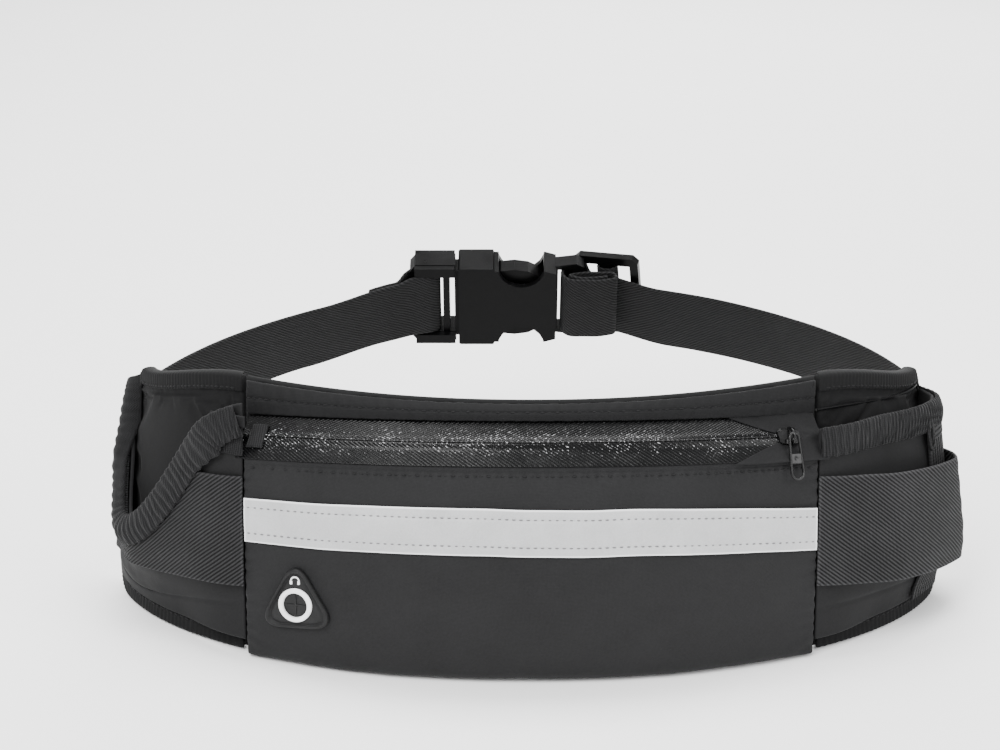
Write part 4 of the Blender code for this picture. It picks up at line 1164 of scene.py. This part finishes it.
# webbing round the adjuster's middle bar
AD0 = 1.8 / 2 + 1.3
pts, upv = [], []
for t in np.linspace(0.15, 2 * math.pi + 0.55, 34):
    k = 1.0 + 0.12 * (t > 2 * math.pi - 0.3)
    pts.append(ad(4.6 * math.copysign(abs(math.cos(t)) ** 0.7, math.cos(t)) * k, 0.0,
                  AD0 + 2.1 + 3.0 * k * math.copysign(abs(math.sin(t)) ** 0.8, math.sin(t))))
    upv.append(AV)
wrap = path_slab("adjuster_webbing", pts, upv, 37.0, 1.2, M_STRAP, n=120, nv=16)
done(wrap, "adjuster", "strap_elastic")

# ------------------------------------------------------- slider's bridge, pull --
SL = ZEND - math.radians(1.2)
PIN = zip_pt(SL, 0.40, 5.9)
PX = unit(np.array([math.cos(SL), ZE[1] * math.sin(SL), ZE[2] * math.sin(SL)]))
foot_z = PIN[2] - 18.0
PD = np.array([PIN[0], float(front_y(PIN[0], foot_z)) - 2.9, foot_z]) - PIN
PD = unit(PD - PX * PD.dot(PX))
PN = np.cross(PX, PD)
PN = -PN if PN[1] > 0 else PN


def pull(a, b, n=0.0):
    return PIN + PD * a + PX * b + PN * n


loop_pts = []
for k_ in range(25):
    t_ = math.pi * k_ / 24
    loop_pts.append(pull(1.0 - 2.3 * math.sin(t_), 2.3 * math.cos(t_)))
for k_ in range(1, 14):
    loop_pts.append(pull(1.0 + 15.0 * k_ / 14, -2.3 - 0.7 * k_ / 14))
for k_ in range(25):
    t_ = math.pi * k_ / 24
    loop_pts.append(pull(16.0 + 3.0 * math.sin(t_), -3.0 * math.cos(t_)))
for k_ in range(1, 14):
    loop_pts.append(pull(16.0 - 15.0 * k_ / 14, 3.0 - 0.7 * k_ / 14))
done(tube("zip_pull_loop", loop_pts, 0.62, M_METAL, ring=12, closed=True), "zip_pull_body", "zip_metal", "zip_pull")
done(slab("zip_pull_web", lambda U, V: pull(lerp(7.6, 12.4, U)[..., None] * 1.0, lerp(-2.7, 2.7, V)[..., None]),
          4.8, 5.4, 24, 20, 0.9, M_METAL,
          disp=lambda a, b: -0.22 * np.exp(-(((a - 2.4) ** 2 + (b - 2.7) ** 2) / 0.9))), "zip_pull_body", "zip_metal")
t_ = np.linspace(0, 1, 30)
arch = zip_pt(SL, lerp(0.28, 0.64, t_), 3.0 + 3.4 * np.sin(np.pi * t_) ** 0.5)
done(tube("zip_slider_bridge", arch, 0.55, M_METAL, ring=12, squash=(1.0, 1.5)), "zip_slider_body", "zip_metal")

# ------------------------------------------------------- kept hard-ware nodes --
for node, mat, slotname, width in (("buckle_socket", M_BUCKLE, "buckle_plastic", 1.1),
                                   ("buckle_plug", M_BUCKLE, "buckle_plastic", 0.9),
                                   ("buckle_prong_upper", M_BUCKLE, "buckle_plastic", 1.2),
                                   ("buckle_prong_lower", M_BUCKLE, "buckle_plastic", 1.2),
                                   ("strap_adjuster", M_BUCKLE, "buckle_plastic", 0.9),
                                   ("zip_slider", M_METAL, "zip_metal", 0.5)):
    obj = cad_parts[node]
    obj.data.materials.clear()
    obj.data.materials.append(mat)
    m = obj.modifiers.new("round", "BEVEL")
    m.width, m.segments, m.limit_method, m.angle_limit = width * MM, 3, "ANGLE", math.radians(28)
    m.harden_normals = True
    m.use_clamp_overlap = True


for side in ("left", "right"):
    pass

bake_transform(left)

# ------------------------------------------------------------ floor, light ----
world = bpy.data.worlds.new("studio") if bpy.context.scene.world is None else bpy.context.scene.world
bpy.context.scene.world = world
world.use_nodes = True
bg = world.node_tree.nodes["Background"]
bg.inputs["Color"].default_value = (1.0, 1.0, 1.0, 1.0)
bg.inputs["Strength"].default_value = 1.25


def stage_mat():
    g = Nodes("paper")
    n = g.noise(g.where(), 3.0, 3)
    return g.out(g.mix(g.span(n, 0.3, 0.7), (0.94, 0.94, 0.94), (0.96, 0.96, 0.96)), 0.9)


me = bpy.data.meshes.new("floor")
me.from_pydata([(-6, -4, -0.00125), (6, -4, -0.00125), (6, 8, -0.00125), (-6, 8, -0.00125)], [], [(0, 1, 2, 3)])
floor = bpy.data.objects.new("floor", me)
bpy.context.scene.collection.objects.link(floor)
me.materials.append(stage_mat())


def lamp(name, loc, target, size, power, size_y=None):
    data = bpy.data.lights.new(name, "AREA")
    data.shape = "RECTANGLE"
    data.size, data.size_y = size, size_y or size
    data.energy = power
    obj = bpy.data.objects.new(name, data)
    obj.location = loc
    obj.rotation_euler = (Vector(target) - Vector(loc)).to_track_quat("-Z", "Y").to_euler()
    bpy.context.scene.collection.objects.link(obj)


lamp("key", (-0.7, -1.1, 1.5), (0, 0, 0.05), 1.0, 44)
lamp("fill", (1.3, -0.9, 0.9), (0, 0, 0.05), 1.0, 18)
lamp("over", (0.0, 0.35, 1.5), (0, 0.05, 0.05), 1.5, 34, 0.6)
lamp("back", (0.2, 1.5, 0.7), (0, 0.1, 0.08), 1.2, 16, 0.5)

cam = bpy.data.cameras.new("camera")
cam.lens, cam.sensor_width = 82.8, 36.0
camera = bpy.data.objects.new("camera", cam)
camera.location = (-0.015131, -1.020015, 0.4826)
camera.rotation_euler = (math.radians(90 - 20.9), 0, 0)
bpy.context.scene.collection.objects.link(camera)
bpy.context.scene.camera = camera
